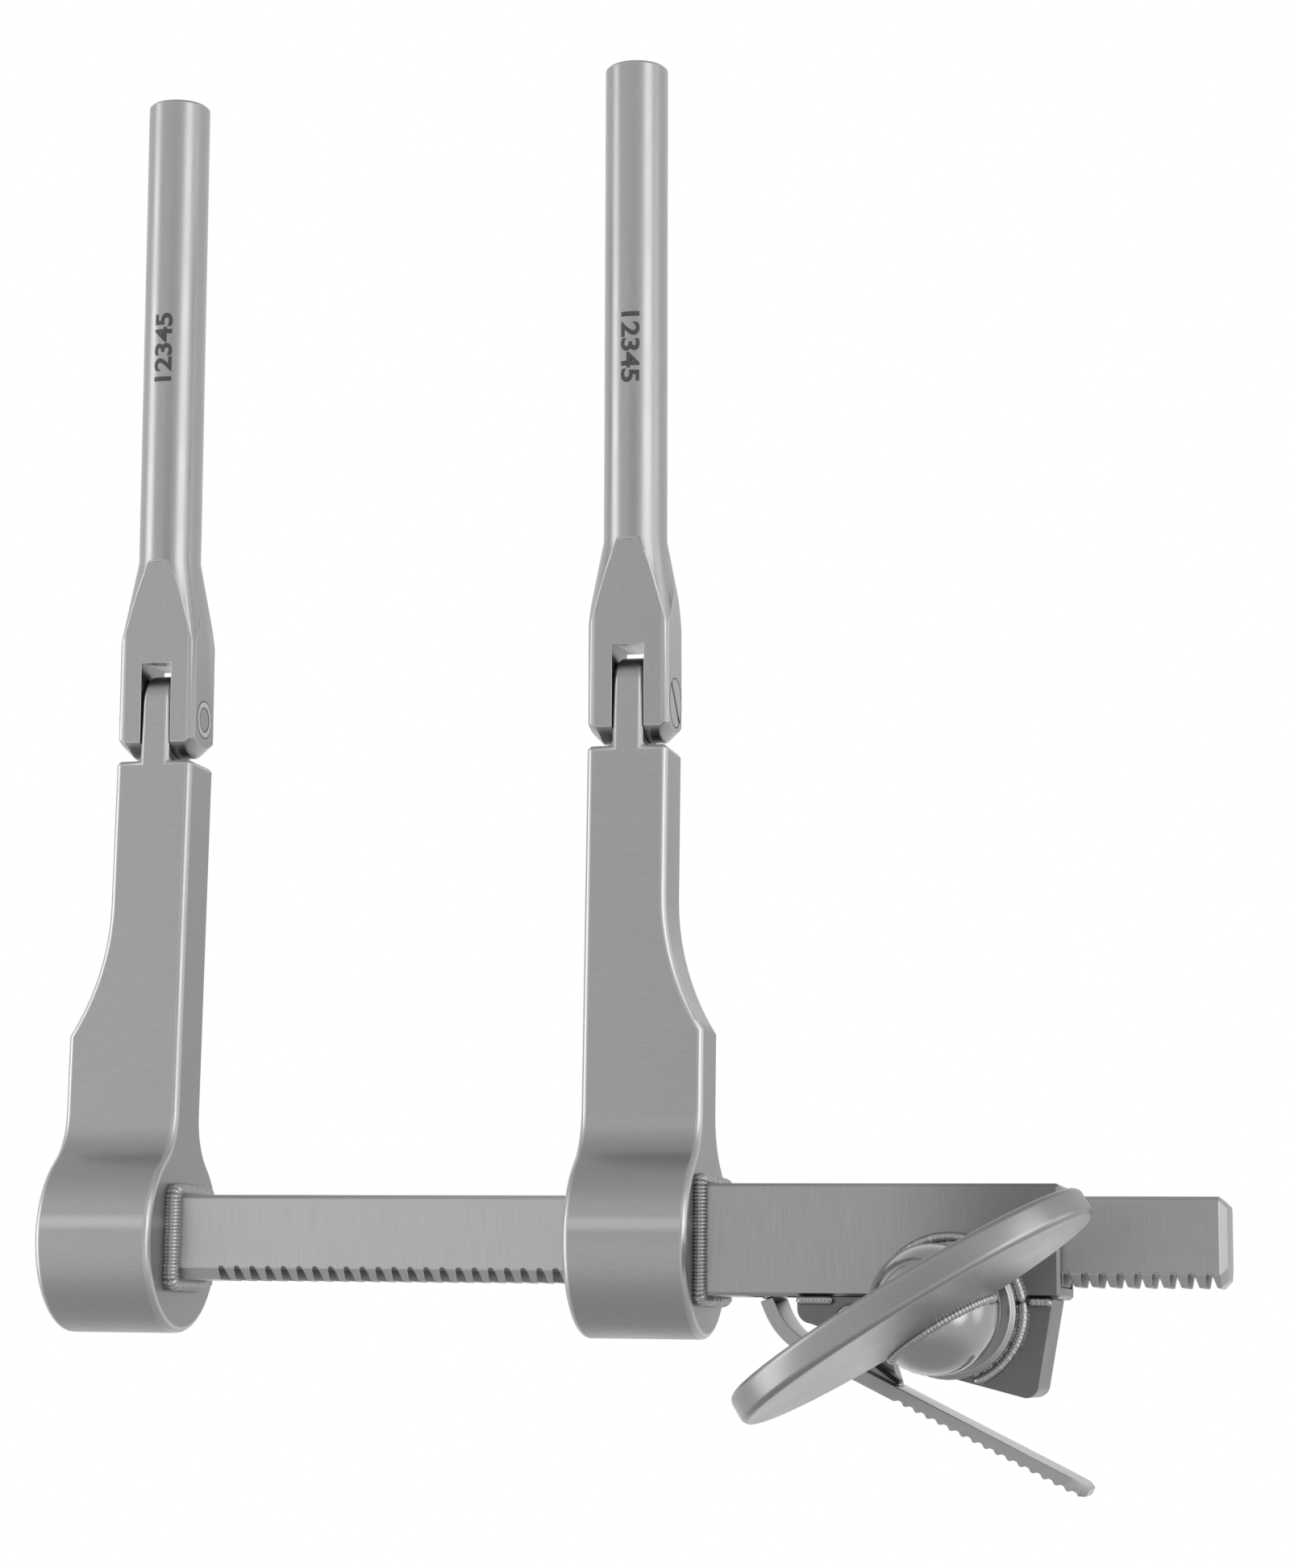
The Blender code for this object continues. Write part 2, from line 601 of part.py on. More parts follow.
def make_sleeve(parent):
    """The square tube that runs on the bar, with windows below for the pawl and the pinion."""
    low = (SLEEVE_START, -SLEEVE_HALF_DEPTH, -SLEEVE_HALF_HEIGHT)
    high = (SLEEVE_END, SLEEVE_HALF_DEPTH, SLEEVE_HALF_HEIGHT)
    sleeve = box("sleeve", low, high, parent)
    break_edges(sleeve, SLEEVE_CHAMFER)
    y, z = BAR_DEPTH / 2 + BAR_GAP, HALF_BAR + BAR_GAP
    low = (SLEEVE_START - SLEEVE_LENGTH, -y, -z)
    high = (SLEEVE_END + SLEEVE_LENGTH, y, z)
    combine(sleeve, box("sleeve_bore", low, high, parent, True))
    half = LEVER_WIDTH / 2 + BAR_GAP
    left = NOSE_X - PAWL_WINDOW_LENGTH / 2 - NOSE_BACKSET
    low = (left, EAR_MIDDLE_Y - half, -2 * SLEEVE_HALF_HEIGHT)
    high = (left + PAWL_WINDOW_LENGTH, EAR_MIDDLE_Y + half, -HALF_BAR)
    combine(sleeve, box("pawl_window", low, high, parent, True))
    reach = PINION_TIP_RADIUS + PINION_POCKET_GAP
    low = (PINION_X - reach, PINION_FRONT - RUNNING_GAP, -2 * SLEEVE_HALF_HEIGHT)
    high = (PINION_X + reach, PINION_BACK + RUNNING_GAP, -HALF_BAR)
    combine(sleeve, box("pinion_window", low, high, parent, True))
    shaft_hole = rod(
        "shaft_hole",
        SHAFT_RADIUS + RUNNING_GAP,
        -PINION_FRONT,
        2 * SLEEVE_HALF_DEPTH,
        "-Y",
        (PINION_X, 0.0, PINION_Z),
        parent,
        cutter=True,
    )
    return finish(combine(sleeve, shaft_hole))


def housing_outline():
    """The housing seen from the front: a rounded lug at the left, a deep corner at the right."""
    right = SLEEVE_END - HOUSING_END_SETBACK
    floor = HOUSING_TOP - HOUSING_END_DROP
    lug_z = HOUSING_TOP - LUG_DROP
    foot = right - HOUSING_END_LEAN
    corner = (foot - HOUSING_CORNER, floor + HOUSING_CORNER)
    return [
        (right, HOUSING_TOP),
        *arc(corner, HOUSING_CORNER, 360.0, 270.0, 6),
        (foot - HOUSING_CORNER - HOUSING_FLOOR_RUN, floor + HOUSING_FLOOR_RISE),
        (HOUSING_LEFT + LUG_UNDERSIDE_RUN, lug_z - LUG_UNDERSIDE_FALL),
        *arc((HOUSING_LEFT + LUG_RADIUS, lug_z + LUG_RADIUS), LUG_RADIUS, 265.0, 180.0, 6),
        (HOUSING_LEFT, HOUSING_TOP),
    ]


def make_housing(parent):
    """The gear housing: a pocket for the pinion, and two lugs with the lever's ear between."""
    housing = prism("gear_housing", housing_outline(), "Y", HOUSING_FRONT, HOUSING_BACK, parent)
    pocket = rod(
        "pinion_pocket",
        PINION_TIP_RADIUS + PINION_POCKET_GAP,
        -PINION_BACK - RUNNING_GAP,
        SLEEVE_HALF_DEPTH * 2,
        "-Y",
        (PINION_X, 0.0, PINION_Z),
        parent,
        cutter=True,
    )
    combine(housing, pocket)
    journal = rod(
        "journal_bore",
        JOURNAL_RADIUS + RUNNING_GAP,
        -PINION_BACK - JOURNAL_LENGTH - RUNNING_GAP,
        0.0,
        "-Y",
        (PINION_X, 0.0, PINION_Z),
        parent,
        cutter=True,
    )
    combine(housing, journal)
    half = EAR_SLOT_WIDTH / 2
    low = (HOUSING_LEFT - LUG_REACH, EAR_MIDDLE_Y - half, -4 * SLEEVE_HALF_HEIGHT)
    high = (LEVER_PIVOT_X + EAR_SLOT_REACH, EAR_MIDDLE_Y + half, 0.0)
    combine(housing, box("ear_slot", low, high, parent, True))
    pin_hole = rod(
        "lever_pin_hole",
        PIVOT_RADIUS + SEAT_GAP,
        -2 * HOUSING_THICKNESS,
        2 * HOUSING_THICKNESS,
        "-Y",
        (LEVER_PIVOT_X, 0.0, LEVER_PIVOT_Z),
        parent,
        cutter=True,
    )
    return finish(combine(housing, pin_hole))


def make_bearing(parent):
    """The round bearing boss on the housing: a flange, a filling pad below it and a spigot."""
    at = (PINION_X, 0.0, PINION_Z)
    spigot = PINION_TIP_RADIUS + PINION_POCKET_GAP - SEAT_GAP
    bore = SHAFT_RADIUS + RUNNING_GAP
    pad = -HOUSING_FRONT + SEAT_GAP
    profile = [
        (bore, -BEARING_FRONT),
        (BOSS_FLANGE_RADIUS - BOSS_FLANGE_CHAMFER, -BEARING_FRONT),
        (BOSS_FLANGE_RADIUS, -BEARING_FRONT - BOSS_FLANGE_CHAMFER),
        (BOSS_FLANGE_RADIUS, pad),
        (spigot, pad),
        (spigot, pad - BEARING_SPIGOT),
        (bore, pad - BEARING_SPIGOT),
        (bore, -BEARING_FRONT),
    ]
    bearing = turned("bearing_boss", profile, "-Y", at, parent)
    reach = 2 * BOSS_FLANGE_RADIUS
    low = (PINION_X - reach, BEARING_BACK, HOUSING_TOP)
    high = (PINION_X + reach, reach, reach)
    combine(bearing, box("sleeve_relief", low, high, parent, True))
    return finish(bearing, roughness=0.22)


def make_ring_bead(name, parent, base_y, start, end):
    """One arc of the ring weld round the bearing boss, laid on the face at base_y."""
    shape = bmesh.new()
    mesh = bpy.data.meshes.new(name)
    major = BOSS_FLANGE_RADIUS + RING_BEAD_RADIUS + SEAT_GAP
    bmesh.ops.create_circle(shape, cap_ends=True, radius=RING_BEAD_RADIUS, segments=8)
    turn = Matrix.Rotation(start, 4, "Z") @ Matrix.Translation((major, 0.0, 0.0))
    shape.transform(turn @ Matrix.Rotation(math.pi / 2, 4, "X"))
    bmesh.ops.spin(
        shape,
        geom=shape.faces[:],
        cent=(0, 0, 0),
        axis=(0, 0, 1),
        angle=end - start,
        steps=max(6, round((end - start) / math.radians(9.0))),
    )
    loose = [edge for edge in shape.edges if len(edge.link_faces) > 2]
    inner = {face for edge in loose for face in edge.link_faces if len(face.verts) == 8}
    bmesh.ops.delete(shape, geom=sorted(inner, key=lambda face: face.index), context="FACES_ONLY")
    bmesh.ops.recalc_face_normals(shape, faces=shape.faces)
    shape.to_mesh(mesh)
    shape.free()
    bead = add_object(name, mesh, parent)
    bead.rotation_euler = TURNS["-Y"]
    bead.location = (PINION_X, base_y - RING_BEAD_RADIUS, PINION_Z)
    return finish(bead, roughness=0.4)


def make_pinion(parent):
    """The eleven-tooth pinion, in one piece with its shaft and rear journal."""
    tooth = math.tau / PINION_TEETH
    outline = []
    for i in range(PINION_TEETH):
        middle = math.pi / 2 + (i + 0.5) * tooth
        root = math.asin(PINION_ROOT_HALF / PINION_ROOT_RADIUS)
        tip = math.asin(PINION_TIP_HALF / PINION_TIP_RADIUS)
        for radius, turn in (
            (PINION_ROOT_RADIUS, -root),
            (PINION_TIP_RADIUS, -tip),
            (PINION_TIP_RADIUS, tip),
            (PINION_ROOT_RADIUS, root),
        ):
            angle = middle + turn
            outline.append((radius * math.cos(angle), radius * math.sin(angle)))
    gear = prism("pinion", outline, "Y", PINION_FRONT, PINION_BACK, parent)
    overlap = PINION_LENGTH / 4
    shaft = [
        (0.0, -HUB_BACK + SHAFT_IN_HUB),
        (SHAFT_RADIUS, -HUB_BACK + SHAFT_IN_HUB),
        (SHAFT_RADIUS, -PINION_FRONT - overlap),
        (0.0, -PINION_FRONT - overlap),
    ]
    combine(gear, turned("pinion_shaft", shaft, "-Y", (0, 0, 0), parent, 36, True), "UNION")
    rear = rod(
        "pinion_journal",
        JOURNAL_RADIUS,
        -PINION_BACK - JOURNAL_LENGTH,
        -PINION_BACK + overlap,
        "-Y",
        (0, 0, 0),
        parent,
        cutter=True,
    )
    combine(gear, rear, "UNION")
    pin = rod(
        "key_pin_hole",
        KEY_PIN_RADIUS + SEAT_GAP,
        -2 * HUB_RADIUS,
        2 * HUB_RADIUS,
        "+X",
        (0.0, HUB_BACK - SHAFT_IN_HUB / 2, 0.0),
        parent,
        steps=16,
        cutter=True,
    )
    return finish(combine(gear, pin))


def hub_profile():
    """The hub: a short neck, a swelling side and a domed front, as (radius, height)."""
    neck = -HUB_BACK + HUB_NECK_LENGTH
    widest = neck + HUB_SWELL_LENGTH
    points = [(r, widest + h) for r, h in arc((0.0, 0.0), HUB_RADIUS, 90.0, 0.0, 10)]
    points[0] = (0.0, widest + HUB_RADIUS)
    swell = HUB_RADIUS - HUB_NECK_RADIUS
    for share in (0.75, 0.5, 0.25, 0.0):
        radius = HUB_NECK_RADIUS + swell * math.sin(share * math.pi / 2)
        points.append((radius, neck + share * HUB_SWELL_LENGTH))
    return points + [(HUB_NECK_RADIUS, -HUB_BACK), (0.0, -HUB_BACK)]


def plate_mesh(name, gap=0.0):
    """The oval plate round its own middle; a gap makes the pocket that it sits in."""
    steps = 48
    shape = bmesh.new()
    ring = []
    for i in range(steps):
        c, s = math.cos(math.tau * i / steps), math.sin(math.tau * i / steps)
        x = (KEY_LENGTH / 2 + gap) * math.copysign(abs(c) ** 0.95, c)
        y = (KEY_DEPTH / 2 + gap) * math.copysign(abs(s) ** 0.95, s)
        ring.append(shape.verts.new((x, y, -KEY_THICKNESS / 2 - gap)))
    lifted = bmesh.ops.extrude_face_region(shape, geom=[shape.faces.new(ring)])
    verts = [part for part in lifted["geom"] if isinstance(part, bmesh.types.BMVert)]
    bmesh.ops.translate(shape, vec=(0, 0, KEY_THICKNESS + 2 * gap), verts=verts)
    bmesh.ops.recalc_face_normals(shape, faces=shape.faces)
    mesh = bpy.data.meshes.new(name)
    shape.to_mesh(mesh)
    shape.free()
    return mesh


def place_plate(piece):
    """Sets the plate, or its pocket, across the hub's front, turned and slightly tilted."""
    near = HUB_BACK - HUB_LENGTH + KEY_LAP - SEAT_GAP
    piece.location = (0.0, near - KEY_DEPTH / 2, 0.0)
    piece.rotation_euler = (-KEY_TILT, -KEY_TURN, 0.0)
    return piece


def make_hub(parent):
    """The domed hub of the thumb key, bored for the shaft and slotted for the plate."""
    hub = turned("key_hub", hub_profile(), "-Y", (0, 0, 0), parent, 40)
    bore = rod(
        "hub_bore",
        SHAFT_RADIUS + SEAT_GAP,
        -HUB_LENGTH,
        -HUB_BACK + SHAFT_IN_HUB + SEAT_GAP,
        "-Y",
        (0, 0, 0),
        parent,
        steps=36,
        cutter=True,
    )
    combine(hub, bore)
    pocket = add_object("key_pocket", plate_mesh("key_pocket", SEAT_GAP), parent, True)
    combine(hub, place_plate(pocket))
    pin = rod(
        "hub_pin_hole",
        KEY_PIN_RADIUS + SEAT_GAP,
        -2 * HUB_RADIUS,
        2 * HUB_RADIUS,
        "+X",
        (0.0, HUB_BACK - SHAFT_IN_HUB / 2, 0.0),
        parent,
        steps=16,
        cutter=True,
    )
    return finish(combine(hub, pin), roughness=0.15)


def make_key_plate(parent):
    """The oval thumb plate, its long axis along the local x and its short one along y."""
    plate = place_plate(add_object("key_plate", plate_mesh("key_plate"), parent))
    break_edges(plate, KEY_EDGE_RADIUS, 3)
    return finish(plate, roughness=0.3)


def make_key_pin(parent):
    """The cross pin that fixes the hub to the shaft."""
    length = HUB_NECK_RADIUS - SEAT_GAP
    at = (0.0, HUB_BACK - SHAFT_IN_HUB / 2, 0.0)
    return finish(rod("key_cross_pin", KEY_PIN_RADIUS, -length, length, "+X", at, parent, 16))


def lever_line():
    """The lever strip's middle line as (x, z) from its upper end to the tip, pivot at (0, 0)."""
    start_x, start_z = LEVER_ARM_START
    slope = math.degrees(LEVER_SLOPE)
    bend = math.degrees(LEVER_BEND_ANGLE)
    centre = (
        start_x + LEVER_BEND_RADIUS * math.sin(LEVER_SLOPE),
        start_z + LEVER_BEND_RADIUS * math.cos(LEVER_SLOPE),
    )
    bent = arc(centre, LEVER_BEND_RADIUS, 270.0 - slope - bend, 270.0 - slope, 8)
    top_x, top_z = bent[0]
    steep = LEVER_SLOPE + LEVER_BEND_ANGLE
    riser = (top_x - LEVER_RISER * math.cos(steep), top_z + LEVER_RISER * math.sin(steep))
    tip = (
        start_x + LEVER_ARM_LENGTH * math.cos(LEVER_SLOPE),
        start_z - LEVER_ARM_LENGTH * math.sin(LEVER_SLOPE),
    )
    return [riser] + bent + [tip]


def offset_line(line, distance):
    """A line moved sideways by a distance, to its left when walked from start to end."""
    moved = []
    for i, (x, z) in enumerate(line):
        before, after = line[max(i - 1, 0)], line[min(i + 1, len(line) - 1)]
        dx, dz = after[0] - before[0], after[1] - before[1]
        length = math.hypot(dx, dz)
        moved.append((x - dz / length * distance, z + dx / length * distance))
    return moved


def make_lever(parent):
    """The bent release lever, ridged under its thumb end."""
    line = lever_line()
    upper = offset_line(line, LEVER_THICKNESS / 2)
    lower = offset_line(line, -LEVER_THICKNESS / 2)
    along = Vector((math.cos(LEVER_SLOPE), -math.sin(LEVER_SLOPE)))
    across = Vector((-along.y, along.x))
    tip = Vector(lower[-1])
    ridged = []
    for i in range(GRIP_RIDGES):
        crest = tip - along * (GRIP_PITCH * (i + 0.45))
        for step, lift in ((-0.5, 0.0), (-0.18, 1.0), (0.18, 1.0), (0.5, 0.0)):
            point = crest - along * GRIP_PITCH * step * 0.8 + across * GRIP_DEPTH * lift
            ridged.append((point.x, point.y))
    round_tip = Vector(line[-1])
    nose = [
        tuple(round_tip + along * 0.45 * LEVER_THICKNESS + across * 0.3 * LEVER_THICKNESS),
        tuple(round_tip + along * 0.45 * LEVER_THICKNESS - across * 0.3 * LEVER_THICKNESS),
    ]
    outline = upper + nose + ridged + list(reversed(lower[:-1]))
    half = LEVER_WIDTH / 2
    lever = prism("release_lever", outline, "Y", -half, half, parent)
    end = along.dot(round_tip) + LEVER_THICKNESS
    inset = half - LEVER_TIP_ROUND
    side = half + LEVER_THICKNESS
    plan = [(-side, -LEVER_ARM_LENGTH), (-side, end - LEVER_TIP_ROUND)]
    plan += arc((-inset, end - LEVER_TIP_ROUND), LEVER_TIP_ROUND, 180.0, 90.0, 6)
    plan += [(-y, z) for y, z in reversed(plan)]
    reach = LEVER_ARM_LENGTH
    rounding = prism("lever_tip_round", plan, "X", -reach, reach, parent, True)
    rounding.rotation_euler = (0.0, math.pi / 2 + LEVER_SLOPE, 0.0)
    return finish(combine(lever, rounding, "INTERSECT"))


def make_ear(parent):
    """The ear that carries the lever on its pivot pin, brazed to the strip's upper face."""
    line = lever_line()
    gap = LEVER_THICKNESS / 2 + SEAT_GAP
    start_x, start_z = LEVER_ARM_START
    along = Vector((math.cos(LEVER_SLOPE), -math.sin(LEVER_SLOPE)))
    across = Vector((-along.y, along.x))
    foot = Vector((start_x, start_z)) + across * gap
    left_foot = foot + along * EAR_FOOT_START
    right_foot = foot + along * EAR_FOOT_END
    outline = [tuple(left_foot), tuple(right_foot)]
    outline += arc((0.0, 0.0), EAR_RADIUS, 20.0, 165.0)
    half = EAR_WIDTH / 2
    ear = prism("lever_ear", outline, "Y", -half, half, parent)
    hole = rod(
        "ear_hole",
        PIVOT_RADIUS + RUNNING_GAP,
        -LEVER_WIDTH,
        LEVER_WIDTH,
        "-Y",
        (0, 0, 0),
        parent,
        cutter=True,
    )
    combine(ear, hole)
    return finish(ear), line


def make_nose(parent):
    """The hardened pawl nose that stands on the lever's upper end under the rack."""
    tip_z = -HALF_BAR - NOSE_LIFT - LEVER_PIVOT_Z
    tip_x = NOSE_X - NOSE_BACKSET - LEVER_PIVOT_X
    base_z = tip_z - NOSE_HEIGHT
    top = lever_line()[0]
    outline = [
        (tip_x - NOSE_TIP_WIDTH / 2, tip_z),
        (tip_x + NOSE_TIP_WIDTH / 2, tip_z),
        (tip_x + NOSE_BASE_WIDTH / 2, base_z),
        (top[0] + LEVER_THICKNESS * 0.9, top[1] + LEVER_THICKNESS * 0.42),
        (top[0] - LEVER_THICKNESS * 0.4, top[1] + SEAT_GAP),
        (top[0] - LEVER_THICKNESS * 0.4, base_z),
        (tip_x - NOSE_TIP_WIDTH / 2 - 0.08 * MM, base_z + NOSE_HEIGHT * 0.3),
    ]
    half = NOSE_WIDTH / 2
    return finish(prism("pawl_nose", outline, "Y", -half, half, parent))


def make_lever_pin(parent):
    """The pivot pin: a domed head in front, its shank through both lugs."""
    front = -HOUSING_FRONT + SEAT_GAP
    profile = [
        (0.0, front + PIVOT_HEAD_HEIGHT),
        (0.6 * PIVOT_HEAD_RADIUS, front + PIVOT_HEAD_HEIGHT),
        (0.9 * PIVOT_HEAD_RADIUS, front + 0.75 * PIVOT_HEAD_HEIGHT),
        (PIVOT_HEAD_RADIUS, front + 0.35 * PIVOT_HEAD_HEIGHT),
        (PIVOT_HEAD_RADIUS, front),
        (PIVOT_RADIUS, front),
        (PIVOT_RADIUS, -HOUSING_BACK),
        (0.0, -HOUSING_BACK),
    ]
    at = (LEVER_PIVOT_X, 0.0, LEVER_PIVOT_Z)
    return finish(turned("lever_pin", profile, "-Y", at, parent, SMALL_STEPS))


def spring_seat():
    """Where the spring meets the underside of the front lug, in the carriage's frame."""
    x = LEVER_PIVOT_X - PIVOT_RADIUS
    front_lug = (HOUSING_FRONT + EAR_MIDDLE_Y - EAR_SLOT_WIDTH / 2) / 2
    return x, front_lug, LEVER_PIVOT_Z - 1.15 * MM


def make_spring(parent):
    """The leaf spring from the front lug down to the lever's upper face."""
    x, y, z = spring_seat()
    line = [(x + along * MM, z - down * MM) for along, down in SPRING_LINE]
    outline = offset_line(line, SPRING_THICKNESS / 2)
    outline += list(reversed(offset_line(line, -SPRING_THICKNESS / 2)))
    half = SPRING_WIDTH / 2
    spring = prism("pawl_spring", outline, "Y", y - half, y + half, parent)
    return finish(spring, (0.03, 0.03, 0.03), 0.4, 0.6)


def make_carriage_welds(parent):
    """Short seam welds between the sleeve's front edge and the housing, clear of the ring."""
    radius = SEAM_BEAD_RADIUS
    at_y = HOUSING_FRONT - radius - SEAT_GAP
    at_z = HOUSING_TOP - radius
    ring = BOSS_FLANGE_RADIUS + 2 * RING_BEAD_RADIUS + SEAM_BEAD_INSET
    left = HOUSING_LEFT + SEAM_BEAD_INSET
    right = SLEEVE_END - HOUSING_END_SETBACK - SEAM_BEAD_INSET
    for name, low, high in (
        ("housing_weld_left", left, LEVER_PIVOT_X - PIVOT_HEAD_RADIUS - SEAM_BEAD_INSET),
        ("housing_weld_right", PINION_X + ring, right),
    ):
        finish(rod(name, radius, low, high, "+X", (0.0, at_y, at_z), parent, 12), roughness=0.42)


def build():
    """Makes every piece under the empty that its body moves with."""
    clear_scene()
    frame = empty("rack_frame_origin", (LEFT_INNER_X, 0.0, 0.0))
    carriage = empty("carriage_origin", (ARM_SPREAD, 0.0, 0.0), frame)
    lean = (POST_LEAN, 0.0, 0.0)
    middle = ARM_TOP_WIDTH / 2
    left_hinge = empty("left_post_hinge", (-middle, 0.0, HINGE_Z), frame, lean)
    right_hinge = empty("right_post_hinge", (middle, 0.0, HINGE_Z), carriage, lean)
    key_axis = empty("key_axis", (PINION_X, 0.0, PINION_Z), carriage)
    pivot = empty("lever_pivot", (LEVER_PIVOT_X, EAR_MIDDLE_Y, LEVER_PIVOT_Z), carriage)

    make_arm("left_arm", -1, frame)
    make_rack_bar(frame)
    weld_frame("rack_weld", BAR_DEPTH / 2, HALF_BAR, 0.0, 1, frame)
    make_post("left_post", -1, left_hinge)
    make_hinge_screw("left_hinge_screw", -1, left_hinge)

    right_arm = make_arm("right_arm", 1, carriage)
    y, z = BAR_DEPTH / 2 + BAR_GAP, HALF_BAR + BAR_GAP
    low = (-ARM_BASE_WIDTH, -y, -z)
    high = (2 * ARM_BASE_WIDTH, y, z)
    combine(right_arm, box("bar_passage", low, high, carriage, True))
    make_sleeve(carriage)
    weld_frame(
        "sleeve_weld", SLEEVE_HALF_DEPTH, SLEEVE_HALF_HEIGHT, RIGHT_OUTER_X, 1, carriage
    )
    make_housing(carriage)
    make_bearing(carriage)
    make_ring_bead("bearing_weld", carriage, BEARING_BACK, *RING_BEAD_UPPER)
    seat = HOUSING_FRONT - SEAT_GAP
    make_ring_bead("bearing_weld_lower", carriage, seat, *RING_BEAD_LOWER)
    make_carriage_welds(carriage)
    make_lever_pin(carriage)
    make_spring(carriage)
    make_post("right_post", 1, right_hinge)
    make_hinge_screw("right_hinge_screw", 1, right_hinge)

    make_pinion(key_axis)
    make_hub(key_axis)
    make_key_plate(key_axis)
    make_key_pin(key_axis)

    make_lever(pivot)
    make_ear(pivot)
    make_nose(pivot)


build()
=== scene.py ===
"""Dresses the vertebral spreader: satin steel, weld beads, a polished thumb key and the stage."""

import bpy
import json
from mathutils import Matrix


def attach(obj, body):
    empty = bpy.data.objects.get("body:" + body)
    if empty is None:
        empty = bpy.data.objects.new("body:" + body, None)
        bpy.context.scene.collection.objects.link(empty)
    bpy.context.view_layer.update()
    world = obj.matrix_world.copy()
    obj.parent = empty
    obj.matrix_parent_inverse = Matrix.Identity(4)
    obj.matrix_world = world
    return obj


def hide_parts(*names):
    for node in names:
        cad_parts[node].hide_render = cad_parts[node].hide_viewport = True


bl_info = {
    "name": "Vertebral spreader",
    "version": (1, 0, 0),
    "blender": (4, 5, 0),
    "location": "View3D > Sidebar > Spreader",
    "description": "Finishes the packed model of a vertebral spreader and stages it",
    "category": "Object",
}

import json
import math

import bmesh
import bpy
from bpy.props import FloatProperty, FloatVectorProperty, IntProperty, PointerProperty
from mathutils import Matrix, Vector

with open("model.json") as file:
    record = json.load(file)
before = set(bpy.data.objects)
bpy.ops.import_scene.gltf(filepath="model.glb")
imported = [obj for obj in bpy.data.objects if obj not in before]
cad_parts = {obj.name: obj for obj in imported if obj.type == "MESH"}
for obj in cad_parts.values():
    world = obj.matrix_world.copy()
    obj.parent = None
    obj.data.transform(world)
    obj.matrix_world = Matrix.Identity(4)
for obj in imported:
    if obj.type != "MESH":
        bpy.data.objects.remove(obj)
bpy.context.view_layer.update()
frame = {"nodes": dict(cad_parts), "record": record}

MM = 0.001
JOINTS = {joint["name"]: joint for joint in frame["record"]["behaviour"]["joints"]}
PINION = Vector(JOINTS["key_spin"]["pos_m"])
LEFT_HINGE = Vector(JOINTS["left_post_tilt"]["pos_m"])
RIGHT_HINGE = Vector(JOINTS["right_post_tilt"]["pos_m"])

# Where the photograph was taken from, in metres and radians
CAMERA_PLACE = (0.13134, -0.294997, -0.00994)
CAMERA_YAW = 0.247
CAMERA_PITCH = 0.173
CAMERA_ROLL = 0.0136
CAMERA_LENS = 74.2
SENSOR_WIDTH = 36.0

# How brush marks run: the axis with the smallest scale is the one that they follow
ALONG_X = (0.03, 1.0, 1.0)
ALONG_Y = (1.0, 0.03, 1.0)
ALONG_Z = (1.0, 1.0, 0.03)
SHORT_ALONG_X = (0.06, 1.0, 1.0)
EVEN = (1.0, 1.0, 1.0)

# Edges that turn by more than this are rounded, or kept sharp where they are hollow
SHARP_TURN = math.radians(32.0)

# Share of a rounding's width: on the tongues and bosses, and on the posts away from the clevis
TONGUE_ROUND = 0.5
POST_ROUND = 0.18

# How much lighter the painted highlight band across the bosses is than the steel round it
HIGHLIGHT_BAND_TONE = 1.33

# Painted shade of the key on bar and sleeve: from the left of its axis to the right of it,
# and the tone there
BAR_PAINTED_SHADE = (10.0 * MM, 5.0 * MM, 0.8)
SLEEVE_PAINTED_SHADE = (8.0 * MM, 7.0 * MM, 0.54)

# Faces of the bar, by their height and their distance from its free end
NOTCH_REACH = -2.7 * MM
BAR_UNDERSIDE = -3.8 * MM
BAR_END_ZONE = 1.0 * MM

# Arcs of the ring weld's two beads, in degrees round the key's axis
RING_BEADS = (("bearing_weld", 12.0, 166.0), ("bearing_weld_lower", -66.0, 4.0))


